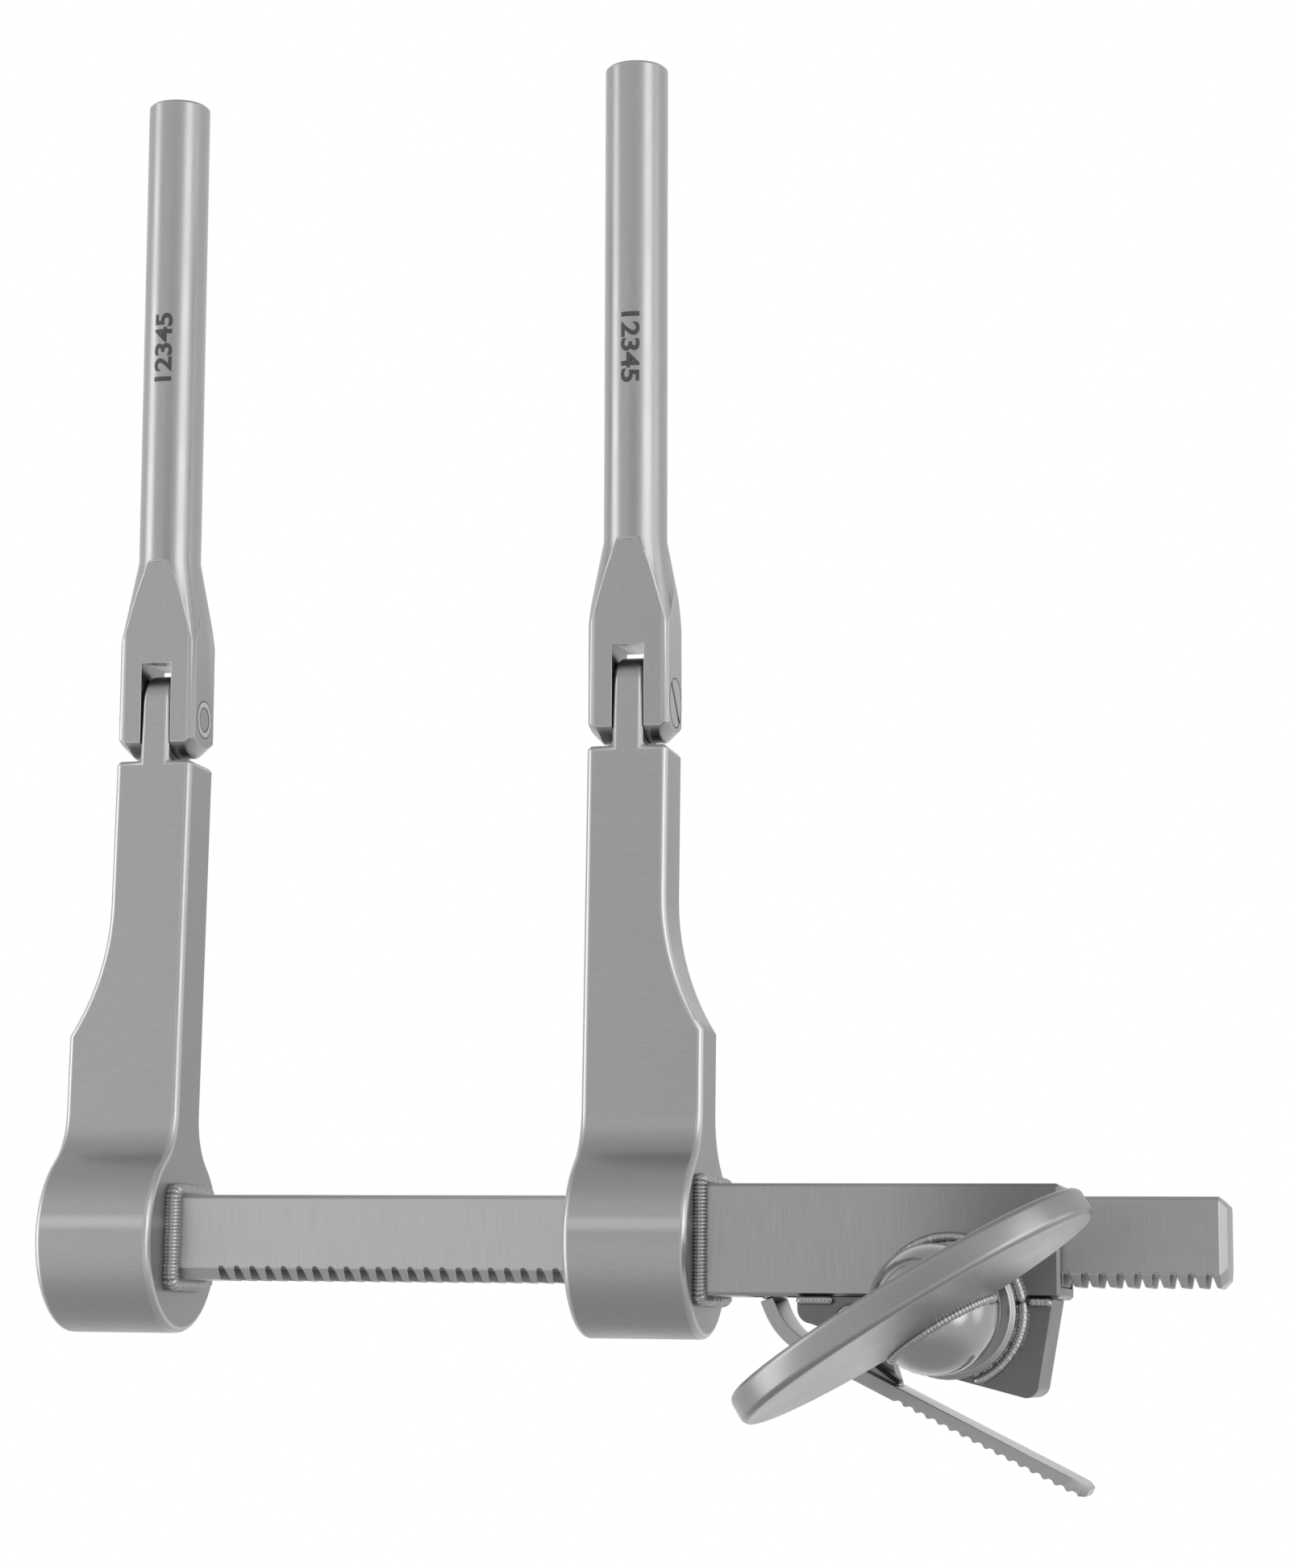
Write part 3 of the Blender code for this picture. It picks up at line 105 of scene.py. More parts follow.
class SpreaderSizes(bpy.types.PropertyGroup):
    """Sizes of the details that the finish adds."""

    edge_round: FloatProperty(
        name="Edge round",
        description="Radius worn into the edges of the machined pieces",
        default=0.14 * MM,
        unit="LENGTH",
        subtype="DISTANCE",
    )
    weld_ripple_spacing: FloatProperty(
        name="Weld ripple spacing",
        description="Distance from one ripple of a weld bead to the next",
        default=0.34 * MM,
        unit="LENGTH",
        subtype="DISTANCE",
    )
    weld_leg: FloatProperty(
        name="Weld leg",
        description="Half width of the weld beads round the bar and the sleeve",
        default=0.8 * MM,
        unit="LENGTH",
        subtype="DISTANCE",
    )
    numeral_height: FloatProperty(
        name="Numeral height",
        description="Height of the numerals etched on the posts",
        default=1.86 * MM,
        unit="LENGTH",
        subtype="DISTANCE",
    )
    numeral_length: FloatProperty(
        name="Numeral length",
        description="Length of the row of numerals along the post",
        default=7.0 * MM,
        unit="LENGTH",
        subtype="DISTANCE",
    )
    post_radius: FloatProperty(
        name="Post radius",
        description="Radius of the posts that the numerals wrap round",
        default=3.07 * MM,
        unit="LENGTH",
        subtype="DISTANCE",
    )
    clevis_half_width: FloatProperty(
        name="Clevis half width",
        description="Distance of each cheek's outer face from the middle of the hinge",
        default=4.0 * MM,
        unit="LENGTH",
        subtype="DISTANCE",
    )
    screw_head_radius: FloatProperty(
        name="Screw head radius",
        description="Radius of the hinge screw's head, where its gap begins",
        default=2.33 * MM,
        unit="LENGTH",
        subtype="DISTANCE",
    )
    screw_tail_radius: FloatProperty(
        name="Screw tail radius",
        description="Radius of the hinge screw's spread tail, where its gap begins",
        default=1.78 * MM,
        unit="LENGTH",
        subtype="DISTANCE",
    )
    shank_mark_radius: FloatProperty(
        name="Shank mark radius",
        description="Radius of the shank's end inside the staked tail",
        default=1.26 * MM,
        unit="LENGTH",
        subtype="DISTANCE",
    )
    # Width of the ring of painted shade that stands for the gap round the screw ends
    screw_gap: FloatProperty(
        name="Screw gap",
        description="Width of the dark gap round the ends of the hinge screws",
        default=0.12 * MM,
        unit="LENGTH",
        subtype="DISTANCE",
    )
    hub_radius: FloatProperty(
        name="Hub radius",
        description="Radius of the thumb key's domed hub",
        default=5.7 * MM,
        unit="LENGTH",
        subtype="DISTANCE",
    )
    hub_widest: FloatProperty(
        name="Hub widest place",
        description="Distance in front of the bar's axis at which the hub is widest",
        default=14.89 * MM,
        unit="LENGTH",
        subtype="DISTANCE",
    )
    plate_centre: FloatProperty(
        name="Plate centre",
        description="Distance of the thumb plate's middle in front of the bar's axis",
        default=26.22 * MM,
        unit="LENGTH",
        subtype="DISTANCE",
    )
    plate_thickness: FloatProperty(
        name="Plate thickness",
        description="Thickness of the thumb plate",
        default=2.6 * MM,
        unit="LENGTH",
        subtype="DISTANCE",
    )
    plate_turn: FloatProperty(
        name="Plate turn",
        description="Turn of the thumb plate about the key's axis",
        default=math.radians(31.5),
        unit="ROTATION",
        subtype="ANGLE",
    )
    plate_tilt: FloatProperty(
        name="Plate tilt",
        description="Tilt of the thumb plate about its long axis",
        default=math.radians(3.0),
        unit="ROTATION",
        subtype="ANGLE",
    )
    plate_bead: FloatProperty(
        name="Plate bead radius",
        description="Radius of the weld bead between the hub and the thumb plate",
        default=0.42 * MM,
        unit="LENGTH",
        subtype="DISTANCE",
    )
    left_numeral_turn: FloatProperty(
        name="Left numeral turn",
        description="How far round the left post its numerals sit, from the front",
        default=0.0,
        unit="ROTATION",
        subtype="ANGLE",
    )
    right_numeral_turn: FloatProperty(
        name="Right numeral turn",
        description="How far round the right post its numerals sit, from the front",
        default=math.radians(3.0),
        unit="ROTATION",
        subtype="ANGLE",
    )
    left_numeral_centre: FloatProperty(
        name="Left numeral place",
        description="Distance of the left post's numerals from the hinge, along the post",
        default=37.5 * MM,
        unit="LENGTH",
        subtype="DISTANCE",
    )
    right_numeral_centre: FloatProperty(
        name="Right numeral place",
        description="Distance of the right post's numerals from the hinge, along the post",
        default=34.5 * MM,
        unit="LENGTH",
        subtype="DISTANCE",
    )
    # Place and half width of the painted highlight: a lighter band across the bosses
    highlight_band_height: FloatProperty(
        name="Painted highlight height",
        description="Height above the bar's axis of the bright rubbed band on the bosses",
        default=1.2 * MM,
        unit="LENGTH",
        subtype="DISTANCE",
    )
    highlight_band_width: FloatProperty(
        name="Painted highlight width",
        description="Half width of the bright rubbed band on the bosses",
        default=1.0 * MM,
        unit="LENGTH",
        subtype="DISTANCE",
    )
    floor_drop: FloatProperty(
        name="Floor drop",
        description="Distance of the floor below the bar's axis",
        default=0.12,
        unit="LENGTH",
        subtype="DISTANCE",
    )


class SpreaderFinish(bpy.types.PropertyGroup):
    """Colours and sheen of the steels."""

    satin: FloatVectorProperty(
        name="Satin steel",
        description="Colour of the brushed pieces",
        default=(0.34, 0.34, 0.34),
        subtype="COLOR",
    )
    polished: FloatVectorProperty(
        name="Polished steel",
        description="Colour of the thumb key's hub and the bearing boss",
        default=(0.33, 0.33, 0.33),
        subtype="COLOR",
    )
    ground: FloatVectorProperty(
        name="Ground steel",
        description="Colour of the toothed bar",
        default=(0.43, 0.43, 0.43),
        subtype="COLOR",
    )
    # The gear housing's steel is made darker than the rest: painted shade below the key
    dull: FloatVectorProperty(
        name="Housing steel with painted shade",
        description="Colour of the gear housing",
        default=(0.155, 0.155, 0.155),
        subtype="COLOR",
    )
    thumbed: FloatVectorProperty(
        name="Thumbed steel",
        description="Colour of the thumb plate",
        default=(0.275, 0.275, 0.275),
        subtype="COLOR",
    )
    weld: FloatVectorProperty(
        name="Weld metal",
        description="Colour of the weld beads",
        default=(0.32, 0.32, 0.32),
        subtype="COLOR",
    )
    blackened: FloatVectorProperty(
        name="Blackened steel",
        description="Colour of the leaf spring",
        default=(0.02, 0.02, 0.021),
        subtype="COLOR",
    )
    # Darker steel of the rack's notch faces: painted shade in the recesses
    cut: FloatVectorProperty(
        name="Notch shade steel",
        description="Colour of the freshly cut faces of the rack's notches",
        default=(0.2, 0.2, 0.2),
        subtype="COLOR",
    )
    rubbed: FloatVectorProperty(
        name="Rubbed steel",
        description="Colour of the staked screw tails and of the ring weld's foot",
        default=(0.5, 0.5, 0.5),
        subtype="COLOR",
    )
    # Lighter steel of the rounded edges of arms and posts: partly edge wear, partly a painted
    # highlight; the bar's chamfers take the same colour
    worn: FloatVectorProperty(
        name="Edge wear and highlight steel",
        description="Colour of the rounded edges of arms and posts and of the bar's chamfers",
        default=(0.43, 0.43, 0.43),
        subtype="COLOR",
    )
    # Also the colour of the painted shade rings in the gaps round the hinge screws
    etched_and_gap_shade: FloatVectorProperty(
        name="Etched steel and gap shade",
        description="Colour of the numerals on the posts",
        default=(0.09, 0.09, 0.09),
        subtype="COLOR",
    )
    satin_roughness: FloatProperty(
        name="Satin roughness",
        description="Roughness of the brushed pieces",
        default=0.3,
        min=0.0,
        max=1.0,
        subtype="FACTOR",
    )
    grain_seed: IntProperty(
        name="Grain seed",
        description="Moves the brush marks along",
        default=3,
    )


def sizes():
    """The sizes that the sidebar shows."""
    return bpy.context.scene.spreader_sizes


def colours():
    """The colours and the sheen that the sidebar shows."""
    return bpy.context.scene.spreader_finish


def socket(group, name, kind, way, value=None):
    """A named socket of a node group."""
    made = group.interface.new_socket(name=name, in_out=way, socket_type=kind)
    if value is not None:
        made.default_value = value
    return made


def brushed_grain():
    """Fine brush marks: streaks along one axis, a height for bump and a mask for sheen."""
    group = bpy.data.node_groups.get("brushed_grain")
    if group:
        return group
    group = bpy.data.node_groups.new("brushed_grain", "ShaderNodeTree")
    socket(group, "Coordinates", "NodeSocketVector", "INPUT")
    socket(group, "Stretch", "NodeSocketVector", "INPUT", (1.0, 1.0, 1.0))
    socket(group, "Streaks per metre", "NodeSocketFloat", "INPUT", 9000.0)
    socket(group, "Seed", "NodeSocketFloat", "INPUT", 0.0)
    socket(group, "Streaks", "NodeSocketFloat", "OUTPUT")
    socket(group, "Smudges", "NodeSocketFloat", "OUTPUT")
    nodes, links = group.nodes, group.links
    inside = nodes.new("NodeGroupInput")
    outside = nodes.new("NodeGroupOutput")
    mapping = nodes.new("ShaderNodeMapping")
    links.new(inside.outputs["Coordinates"], mapping.inputs["Vector"])
    links.new(inside.outputs["Stretch"], mapping.inputs["Scale"])
    streaks = nodes.new("ShaderNodeTexNoise")
    streaks.noise_dimensions = "4D"
    streaks.inputs["Detail"].default_value = 3.0
    streaks.inputs["Roughness"].default_value = 0.65
    links.new(mapping.outputs["Vector"], streaks.inputs["Vector"])
    links.new(inside.outputs["Streaks per metre"], streaks.inputs["Scale"])
    links.new(inside.outputs["Seed"], streaks.inputs["W"])
    spread = nodes.new("ShaderNodeMapRange")
    spread.inputs["From Min"].default_value = 0.3
    spread.inputs["From Max"].default_value = 0.7
    links.new(streaks.outputs["Fac"], spread.inputs["Value"])
    links.new(spread.outputs["Result"], outside.inputs["Streaks"])
    smudges = nodes.new("ShaderNodeTexNoise")
    smudges.noise_dimensions = "4D"
    smudges.inputs["Scale"].default_value = 160.0
    smudges.inputs["Detail"].default_value = 4.0
    links.new(inside.outputs["Coordinates"], smudges.inputs["Vector"])
    links.new(inside.outputs["Seed"], smudges.inputs["W"])
    soften = nodes.new("ShaderNodeMapRange")
    soften.inputs["From Min"].default_value = 0.35
    soften.inputs["From Max"].default_value = 0.65
    links.new(smudges.outputs["Fac"], soften.inputs["Value"])
    links.new(soften.outputs["Result"], outside.inputs["Smudges"])
    return group


def handling_wear():
    """Fine pits that every steel piece has in small measure."""
    group = bpy.data.node_groups.get("handling_wear")
    if group:
        return group
    group = bpy.data.node_groups.new("handling_wear", "ShaderNodeTree")
    socket(group, "Coordinates", "NodeSocketVector", "INPUT")
    socket(group, "Pits per metre", "NodeSocketFloat", "INPUT", 5200.0)
    socket(group, "Pits", "NodeSocketFloat", "OUTPUT")
    nodes, links = group.nodes, group.links
    inside = nodes.new("NodeGroupInput")
    outside = nodes.new("NodeGroupOutput")
    pits = nodes.new("ShaderNodeTexNoise")
    pits.inputs["Detail"].default_value = 2.0
    links.new(inside.outputs["Coordinates"], pits.inputs["Vector"])
    links.new(inside.outputs["Pits per metre"], pits.inputs["Scale"])
    links.new(pits.outputs["Fac"], outside.inputs["Pits"])
    return group


def steel(name, colour, roughness, stretch, bump=0.1, streaks=12000.0, tint=0.05, sheen=0.03):
    """A steel whose brush marks run along the axis that stretch gives the smallest scale."""
    found = bpy.data.materials.get(name)
    if found:
        return found
    made = bpy.data.materials.new(name)
    made.use_nodes = True
    nodes, links = made.node_tree.nodes, made.node_tree.links
    shader = nodes["Principled BSDF"]
    shader.inputs["Metallic"].default_value = 1.0
    place = nodes.new("ShaderNodeTexCoord")
    grain = nodes.new("ShaderNodeGroup")
    grain.node_tree = brushed_grain()
    grain.inputs["Stretch"].default_value = stretch
    grain.inputs["Streaks per metre"].default_value = streaks
    grain.inputs["Seed"].default_value = float(colours().grain_seed)
    wear = nodes.new("ShaderNodeGroup")
    wear.node_tree = handling_wear()
    links.new(place.outputs["Object"], grain.inputs["Coordinates"])
    links.new(place.outputs["Object"], wear.inputs["Coordinates"])
    shade = nodes.new("ShaderNodeMix")
    shade.data_type = "RGBA"
    shade.inputs["A"].default_value = (*[c * (1.0 - tint) for c in colour], 1.0)
    shade.inputs["B"].default_value = (*[min(1.0, c * (1.0 + tint)) for c in colour], 1.0)
    links.new(grain.outputs["Streaks"], shade.inputs["Factor"])
    links.new(shade.outputs["Result"], shader.inputs["Base Color"])
    dull = nodes.new("ShaderNodeMapRange")
    dull.inputs["To Min"].default_value = roughness - sheen
    dull.inputs["To Max"].default_value = roughness + sheen
    links.new(grain.outputs["Smudges"], dull.inputs["Value"])
    links.new(dull.outputs["Result"], shader.inputs["Roughness"])
    height = nodes.new("ShaderNodeMath")
    height.operation = "MULTIPLY_ADD"
    height.inputs[1].default_value = 0.3
    links.new(wear.outputs["Pits"], height.inputs[0])
    links.new(grain.outputs["Streaks"], height.inputs[2])
    relief = nodes.new("ShaderNodeBump")
    relief.inputs["Strength"].default_value = bump
    relief.inputs["Distance"].default_value = 0.01 * MM
    links.new(height.outputs["Value"], relief.inputs["Height"])
    links.new(relief.outputs["Normal"], shader.inputs["Normal"])
    return made


def scaled_tint(material, mask, share):
    """Multiplies a steel's colour by share where the mask socket gives 1."""
    nodes, links = material.node_tree.nodes, material.node_tree.links
    shader = nodes["Principled BSDF"]
    tone = nodes.new("ShaderNodeMapRange")
    tone.inputs["To Min"].default_value = 1.0
    tone.inputs["To Max"].default_value = share
    links.new(mask, tone.inputs["Value"])
    scaled = nodes.new("ShaderNodeVectorMath")
    scaled.operation = "SCALE"
    links.new(shader.inputs["Base Color"].links[0].from_socket, scaled.inputs[0])
    links.new(tone.outputs["Result"], scaled.inputs["Scale"])
    links.new(scaled.outputs["Vector"], shader.inputs["Base Color"])


def place_parts(material):
    """The node that splits a steel's place on the object into X, Y and Z."""
    nodes, links = material.node_tree.nodes, material.node_tree.links
    place = next(node for node in nodes if node.bl_idname == "ShaderNodeTexCoord")
    parts = nodes.new("ShaderNodeSeparateXYZ")
    links.new(place.outputs["Object"], parts.inputs["Vector"])
    return parts


def painted_highlight_band(material, height, width):
    """A painted highlight: a lighter band across the rounded fronts, at one height."""
    nodes, links = material.node_tree.nodes, material.node_tree.links
    parts = place_parts(material)
    above = nodes.new("ShaderNodeMath")
    above.operation = "SUBTRACT"
    above.inputs[1].default_value = height
    links.new(parts.outputs["Z"], above.inputs[0])
    away = nodes.new("ShaderNodeMath")
    away.operation = "ABSOLUTE"
    links.new(above.outputs["Value"], away.inputs[0])
    fade = nodes.new("ShaderNodeMapRange")
    fade.interpolation_type = "SMOOTHERSTEP"
    fade.inputs["From Min"].default_value = 0.0
    fade.inputs["From Max"].default_value = width
    fade.inputs["To Min"].default_value = 1.0
    fade.inputs["To Max"].default_value = 0.0
    links.new(away.outputs["Value"], fade.inputs["Value"])
    scaled_tint(material, fade.outputs["Result"], HIGHLIGHT_BAND_TONE)


def painted_key_shade(material, left, right, tone):
    """Painted shade: darkens a steel towards its end, where the key stands close before it."""
    nodes, links = material.node_tree.nodes, material.node_tree.links
    parts = place_parts(material)
    fade = nodes.new("ShaderNodeMapRange")
    fade.interpolation_type = "SMOOTHSTEP"
    fade.inputs["From Min"].default_value = PINION.x - left
    fade.inputs["From Max"].default_value = PINION.x + right
    links.new(parts.outputs["X"], fade.inputs["Value"])
    scaled_tint(material, fade.outputs["Result"], tone)


def wear_and_highlight_steel():
    """The lighter steel of rounded edges: partly edge wear, partly a painted highlight."""
    return steel("edge_wear_and_highlight", colours().worn, 0.3, ALONG_X, 0.12)


def weld_metal():
    """The steel of the weld beads."""
    return steel("weld_metal", colours().weld, 0.27, EVEN, 0.1, tint=0.05)


def add_piece(name, mesh, body, slot, *replaced):
    """A finished piece: it rides on its body and may stand for CAD nodes."""
    made = bpy.data.objects.new(name, mesh)
    bpy.context.scene.collection.objects.link(made)
    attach(made, body)
    if replaced:
        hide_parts(*replaced)
    return made


def plain_mesh(holder, name):
    """The holder's evaluated mesh; the holder itself is removed."""
    bpy.context.view_layer.update()
    graph = bpy.context.evaluated_depsgraph_get()
    mesh = bpy.data.meshes.new_from_object(holder.evaluated_get(graph))
    mesh.name = name
    bpy.data.objects.remove(holder, do_unlink=True)
    return mesh


def body_name(node):
    """The body that a node belongs to."""
    bodies = frame["record"]["behaviour"]["bodies"]
    return next(body for body, nodes in bodies.items() if node in nodes)


def node_box(node):
    """The lowest and the highest corner of a node."""
    points = [frame["nodes"][node].matrix_world @ v.co for v in frame["nodes"][node].data.vertices]
    low = Vector([min(p[i] for p in points) for i in range(3)])
    high = Vector([max(p[i] for p in points) for i in range(3)])
    return low, high


def slot_name(node):
    """The material slot that the record gives a node."""
    return next(s["material_slot"] for s in frame["record"]["subparts"] if s["node"] == node)


def softened(node, material, width, segments=2, flat=False, worn=None, share=None):
    """Stands for a machined node with a copy whose outer edges are slightly rounded.

    The rounding takes the worn material, where one is given, and so do the chamfers on the
    front above the key's axis: lighter steel that is partly edge wear and partly a painted
    highlight. share gives each edge its part of the width, which then isn't held back by the
    smallest face.
    """
    mesh = frame["nodes"][node].data.copy()
    shape = bmesh.new()
    shape.from_mesh(mesh)
    bmesh.ops.remove_doubles(shape, verts=shape.verts, dist=2e-7)
    bmesh.ops.dissolve_limit(
        shape, angle_limit=math.radians(0.4), verts=shape.verts, edges=shape.edges
    )
    weight = shape.edges.layers.float.new("bevel_weight_edge")
    for edge in shape.edges:
        if edge.calc_face_angle_signed(0.0) > SHARP_TURN:
            edge[weight] = share(edge) if share else 1.0
        elif edge.calc_face_angle(0.0) > SHARP_TURN:
            edge.smooth = False
    for face in shape.faces:
        face.smooth = not flat
        # Front chamfers above the key's axis take the lighter steel: partly wear, partly painted
        # highlight
        slope = 0.45 < abs(face.normal.x) < 0.9 and abs(face.normal.y) > 0.3
        if worn and slope and face.calc_center_median().z > PINION.z:
            face.material_index = 1
    shape.to_mesh(mesh)
    shape.free()
    mesh.materials.clear()
    mesh.materials.append(material)
    if worn:
        mesh.materials.append(worn)
    holder = bpy.data.objects.new(node + "_blank", mesh)
    bpy.context.scene.collection.objects.link(holder)
    bevel = holder.modifiers.new("edges", "BEVEL")
    bevel.width = width
    bevel.segments = segments
    bevel.limit_method = "WEIGHT"
    bevel.use_clamp_overlap = share is None
    if worn:
        bevel.material = 1
    if not flat:
        even = holder.modifiers.new("even_normals", "WEIGHTED_NORMAL")
        even.keep_sharp = True
        even.weight = 100
    mesh = plain_mesh(holder, node + "_finished")
    return add_piece(node + "_finished", mesh, body_name(node), slot_name(node), node)


def bead_nodes():
    """Overlapping flattened drops along a path: the ripples of a weld bead."""
    group = bpy.data.node_groups.get("rippled_bead")
    if group:
        return group
    group = bpy.data.node_groups.new("rippled_bead", "GeometryNodeTree")
    socket(group, "Geometry", "NodeSocketGeometry", "INPUT")
    socket(group, "Spacing", "NodeSocketFloat", "INPUT", 0.4 * MM)
    socket(group, "Radius", "NodeSocketFloat", "INPUT", 0.6 * MM)
    socket(group, "Flatness", "NodeSocketFloat", "INPUT", 0.6)
    socket(group, "Unevenness", "NodeSocketFloat", "INPUT", 0.08)
    socket(group, "Seed", "NodeSocketInt", "INPUT", 1)
    socket(group, "Material", "NodeSocketMaterial", "INPUT")
    socket(group, "Geometry", "NodeSocketGeometry", "OUTPUT")
    nodes, links = group.nodes, group.links
    inside = nodes.new("NodeGroupInput")
    outside = nodes.new("NodeGroupOutput")
    path = nodes.new("GeometryNodeMeshToCurve")
    links.new(inside.outputs["Geometry"], path.inputs["Mesh"])
    spaced = nodes.new("GeometryNodeResampleCurve")
    spaced.mode = "LENGTH"
    links.new(path.outputs["Curve"], spaced.inputs["Curve"])
    links.new(inside.outputs["Spacing"], spaced.inputs["Length"])
    drop = nodes.new("GeometryNodeMeshUVSphere")
    drop.inputs["Segments"].default_value = 20
    drop.inputs["Rings"].default_value = 12
    drop.inputs["Radius"].default_value = 1.0
    round_drop = nodes.new("GeometryNodeSetShadeSmooth")
    links.new(drop.outputs["Mesh"], round_drop.inputs["Geometry"])
    tangent = nodes.new("GeometryNodeInputTangent")
    turn = nodes.new("FunctionNodeAlignRotationToVector")
    turn.axis = "Z"
    links.new(tangent.outputs["Tangent"], turn.inputs["Vector"])
    low = nodes.new("ShaderNodeMath")
    low.operation = "SUBTRACT"
    low.inputs[0].default_value = 1.0
    links.new(inside.outputs["Unevenness"], low.inputs[1])
    high = nodes.new("ShaderNodeMath")
    high.operation = "ADD"
    high.inputs[0].default_value = 1.0
    links.new(inside.outputs["Unevenness"], high.inputs[1])
    vary = nodes.new("FunctionNodeRandomValue")
    vary.data_type = "FLOAT"
    links.new(low.outputs["Value"], vary.inputs[2])
    links.new(high.outputs["Value"], vary.inputs[3])
    links.new(inside.outputs["Seed"], vary.inputs["Seed"])
    width = nodes.new("ShaderNodeMath")
    width.operation = "MULTIPLY"
    links.new(inside.outputs["Radius"], width.inputs[0])
    links.new(vary.outputs[1], width.inputs[1])
    depth = nodes.new("ShaderNodeMath")
    depth.operation = "MULTIPLY"
    links.new(width.outputs["Value"], depth.inputs[0])
    links.new(inside.outputs["Flatness"], depth.inputs[1])
    size = nodes.new("ShaderNodeCombineXYZ")
    links.new(width.outputs["Value"], size.inputs["X"])
    links.new(width.outputs["Value"], size.inputs["Y"])
    links.new(depth.outputs["Value"], size.inputs["Z"])
    laid = nodes.new("GeometryNodeInstanceOnPoints")
    links.new(spaced.outputs["Curve"], laid.inputs["Points"])
    links.new(round_drop.outputs["Geometry"], laid.inputs["Instance"])
    links.new(turn.outputs["Rotation"], laid.inputs["Rotation"])
    links.new(size.outputs["Vector"], laid.inputs["Scale"])
    solid = nodes.new("GeometryNodeRealizeInstances")
    links.new(laid.outputs["Instances"], solid.inputs["Geometry"])
    painted = nodes.new("GeometryNodeSetMaterial")
    links.new(solid.outputs["Geometry"], painted.inputs["Geometry"])
    links.new(inside.outputs["Material"], painted.inputs["Material"])
    links.new(painted.outputs["Geometry"], outside.inputs["Geometry"])
    return group


def laid_bead(name, paths, radius, material, seed, flatness=0.6, spacing=1.0):
    """The mesh of a rippled bead along one or more paths of points."""
    mesh = bpy.data.meshes.new(name + "_path")
    points, edges = [], []
    for path in paths:
        first = len(points)
        points += [tuple(point) for point in path]
        edges += [(first + i, first + i + 1) for i in range(len(path) - 1)]
    mesh.from_pydata(points, edges, [])
    holder = bpy.data.objects.new(name + "_path", mesh)
    bpy.context.scene.collection.objects.link(holder)
    ripple = holder.modifiers.new("ripples", "NODES")
    group = bead_nodes()
    ripple.node_group = group
    values = {
        "Spacing": sizes().weld_ripple_spacing * spacing,
        "Radius": radius,
        "Flatness": flatness,
        "Unevenness": 0.06,
        "Seed": seed,
        "Material": material,
    }
    for item in group.interface.items_tree:
        if item.item_type == "SOCKET" and item.in_out == "INPUT" and item.name in values:
            ripple[item.identifier] = values[item.name]
    return plain_mesh(holder, name)


def ring(x, half_y, half_z, corner=0.5 * MM, steps=5):
    """A closed rounded rectangle of points round the bar's axis, at one x."""
    points = []
    for i, (sy, sz) in enumerate(((1, 1), (-1, 1), (-1, -1), (1, -1))):
        cy, cz = sy * (half_y - corner), sz * (half_z - corner)
        for k in range(steps + 1):
            a = math.radians(90.0 * (i + k / steps))
            points.append((x, cy + corner * math.cos(a), cz + corner * math.sin(a)))
    return points + points[:1]


def sweep(centre, radius, start, end, y, steps=24):
    """Points of an arc in a plane of one y, as seen from the front."""
    points = []
    for i in range(steps + 1):
        a = math.radians(start + (end - start) * i / steps)
        points.append((centre.x + radius * math.cos(a), y, centre.z + radius * math.sin(a)))
    return points


def repaint(node, material):
    """Gives a CAD node that stays a better material."""
    kept = frame["nodes"][node]
    for place in kept.material_slots:
        place.material = material


class SPREADER_OT_arms(bpy.types.Operator):
    """Finish the two arms in satin steel with softly broken edges"""

    bl_idname = "spreader.arms"
    bl_label = "Arms"

    def execute(self, context):
        finish = colours()
        satin = steel("satin_arms", finish.satin, 0.36, SHORT_ALONG_X, 0.12, 14000.0, 0.06)
        # Painted highlight: a lighter band across the bosses
        painted_highlight_band(satin, sizes().highlight_band_height, sizes().highlight_band_width)

        def share(edge):
            """Whole on the long edges of the chamfers, half on the tongue and elsewhere."""
            low = min(vert.co.z for vert in edge.verts)
            slopes = sorted(abs(face.normal.x) for face in edge.link_faces)
            chamfer = 0.6 < slopes[0] < 0.8 or 0.6 < slopes[1] < 0.8
            return 1.0 if chamfer and low < LEFT_HINGE.z - 5.5 * MM else TONGUE_ROUND

        width = 1.6 * sizes().edge_round
        for node in ("left_arm", "right_arm"):
            # Rounded edges in lighter steel: partly edge wear, partly painted highlight
            softened(node, satin, width, 3, worn=wear_and_highlight_steel(), share=share)
        return {"FINISHED"}


class SPREADER_OT_posts(bpy.types.Operator):
    """Finish the two hinged posts and their screws"""

    bl_idname = "spreader.posts"
    bl_label = "Posts and hinge screws"

    def execute(self, context):
        finish = colours()
        drawn = steel("drawn_posts", finish.satin, 0.28, ALONG_Z)
        bright = steel("turned_screws", finish.satin, 0.2, EVEN)
        width = 2.8 * sizes().edge_round
        for node, hinge in (("left_post", LEFT_HINGE), ("right_post", RIGHT_HINGE)):

            def share(edge):
                """Whole on the long corners of the clevis, slight elsewhere."""
                high, low = [vert.co - hinge for vert in edge.verts]
                upright = abs(high.z - low.z) > 0.9 * (high - low).length
                corner = all(3.3 * MM < abs(end.x) < 3.95 * MM for end in (high, low))
                return 1.0 if upright and corner and abs(high.y) > 1.5 * MM else POST_ROUND

            # Rounded edges in lighter steel: partly edge wear, partly painted highlight
            softened(node, drawn, width, 3, worn=wear_and_highlight_steel(), share=share)
        for node in ("left_hinge_screw", "right_hinge_screw"):
            softened(node, bright, 0.05 * MM)
        return {"FINISHED"}


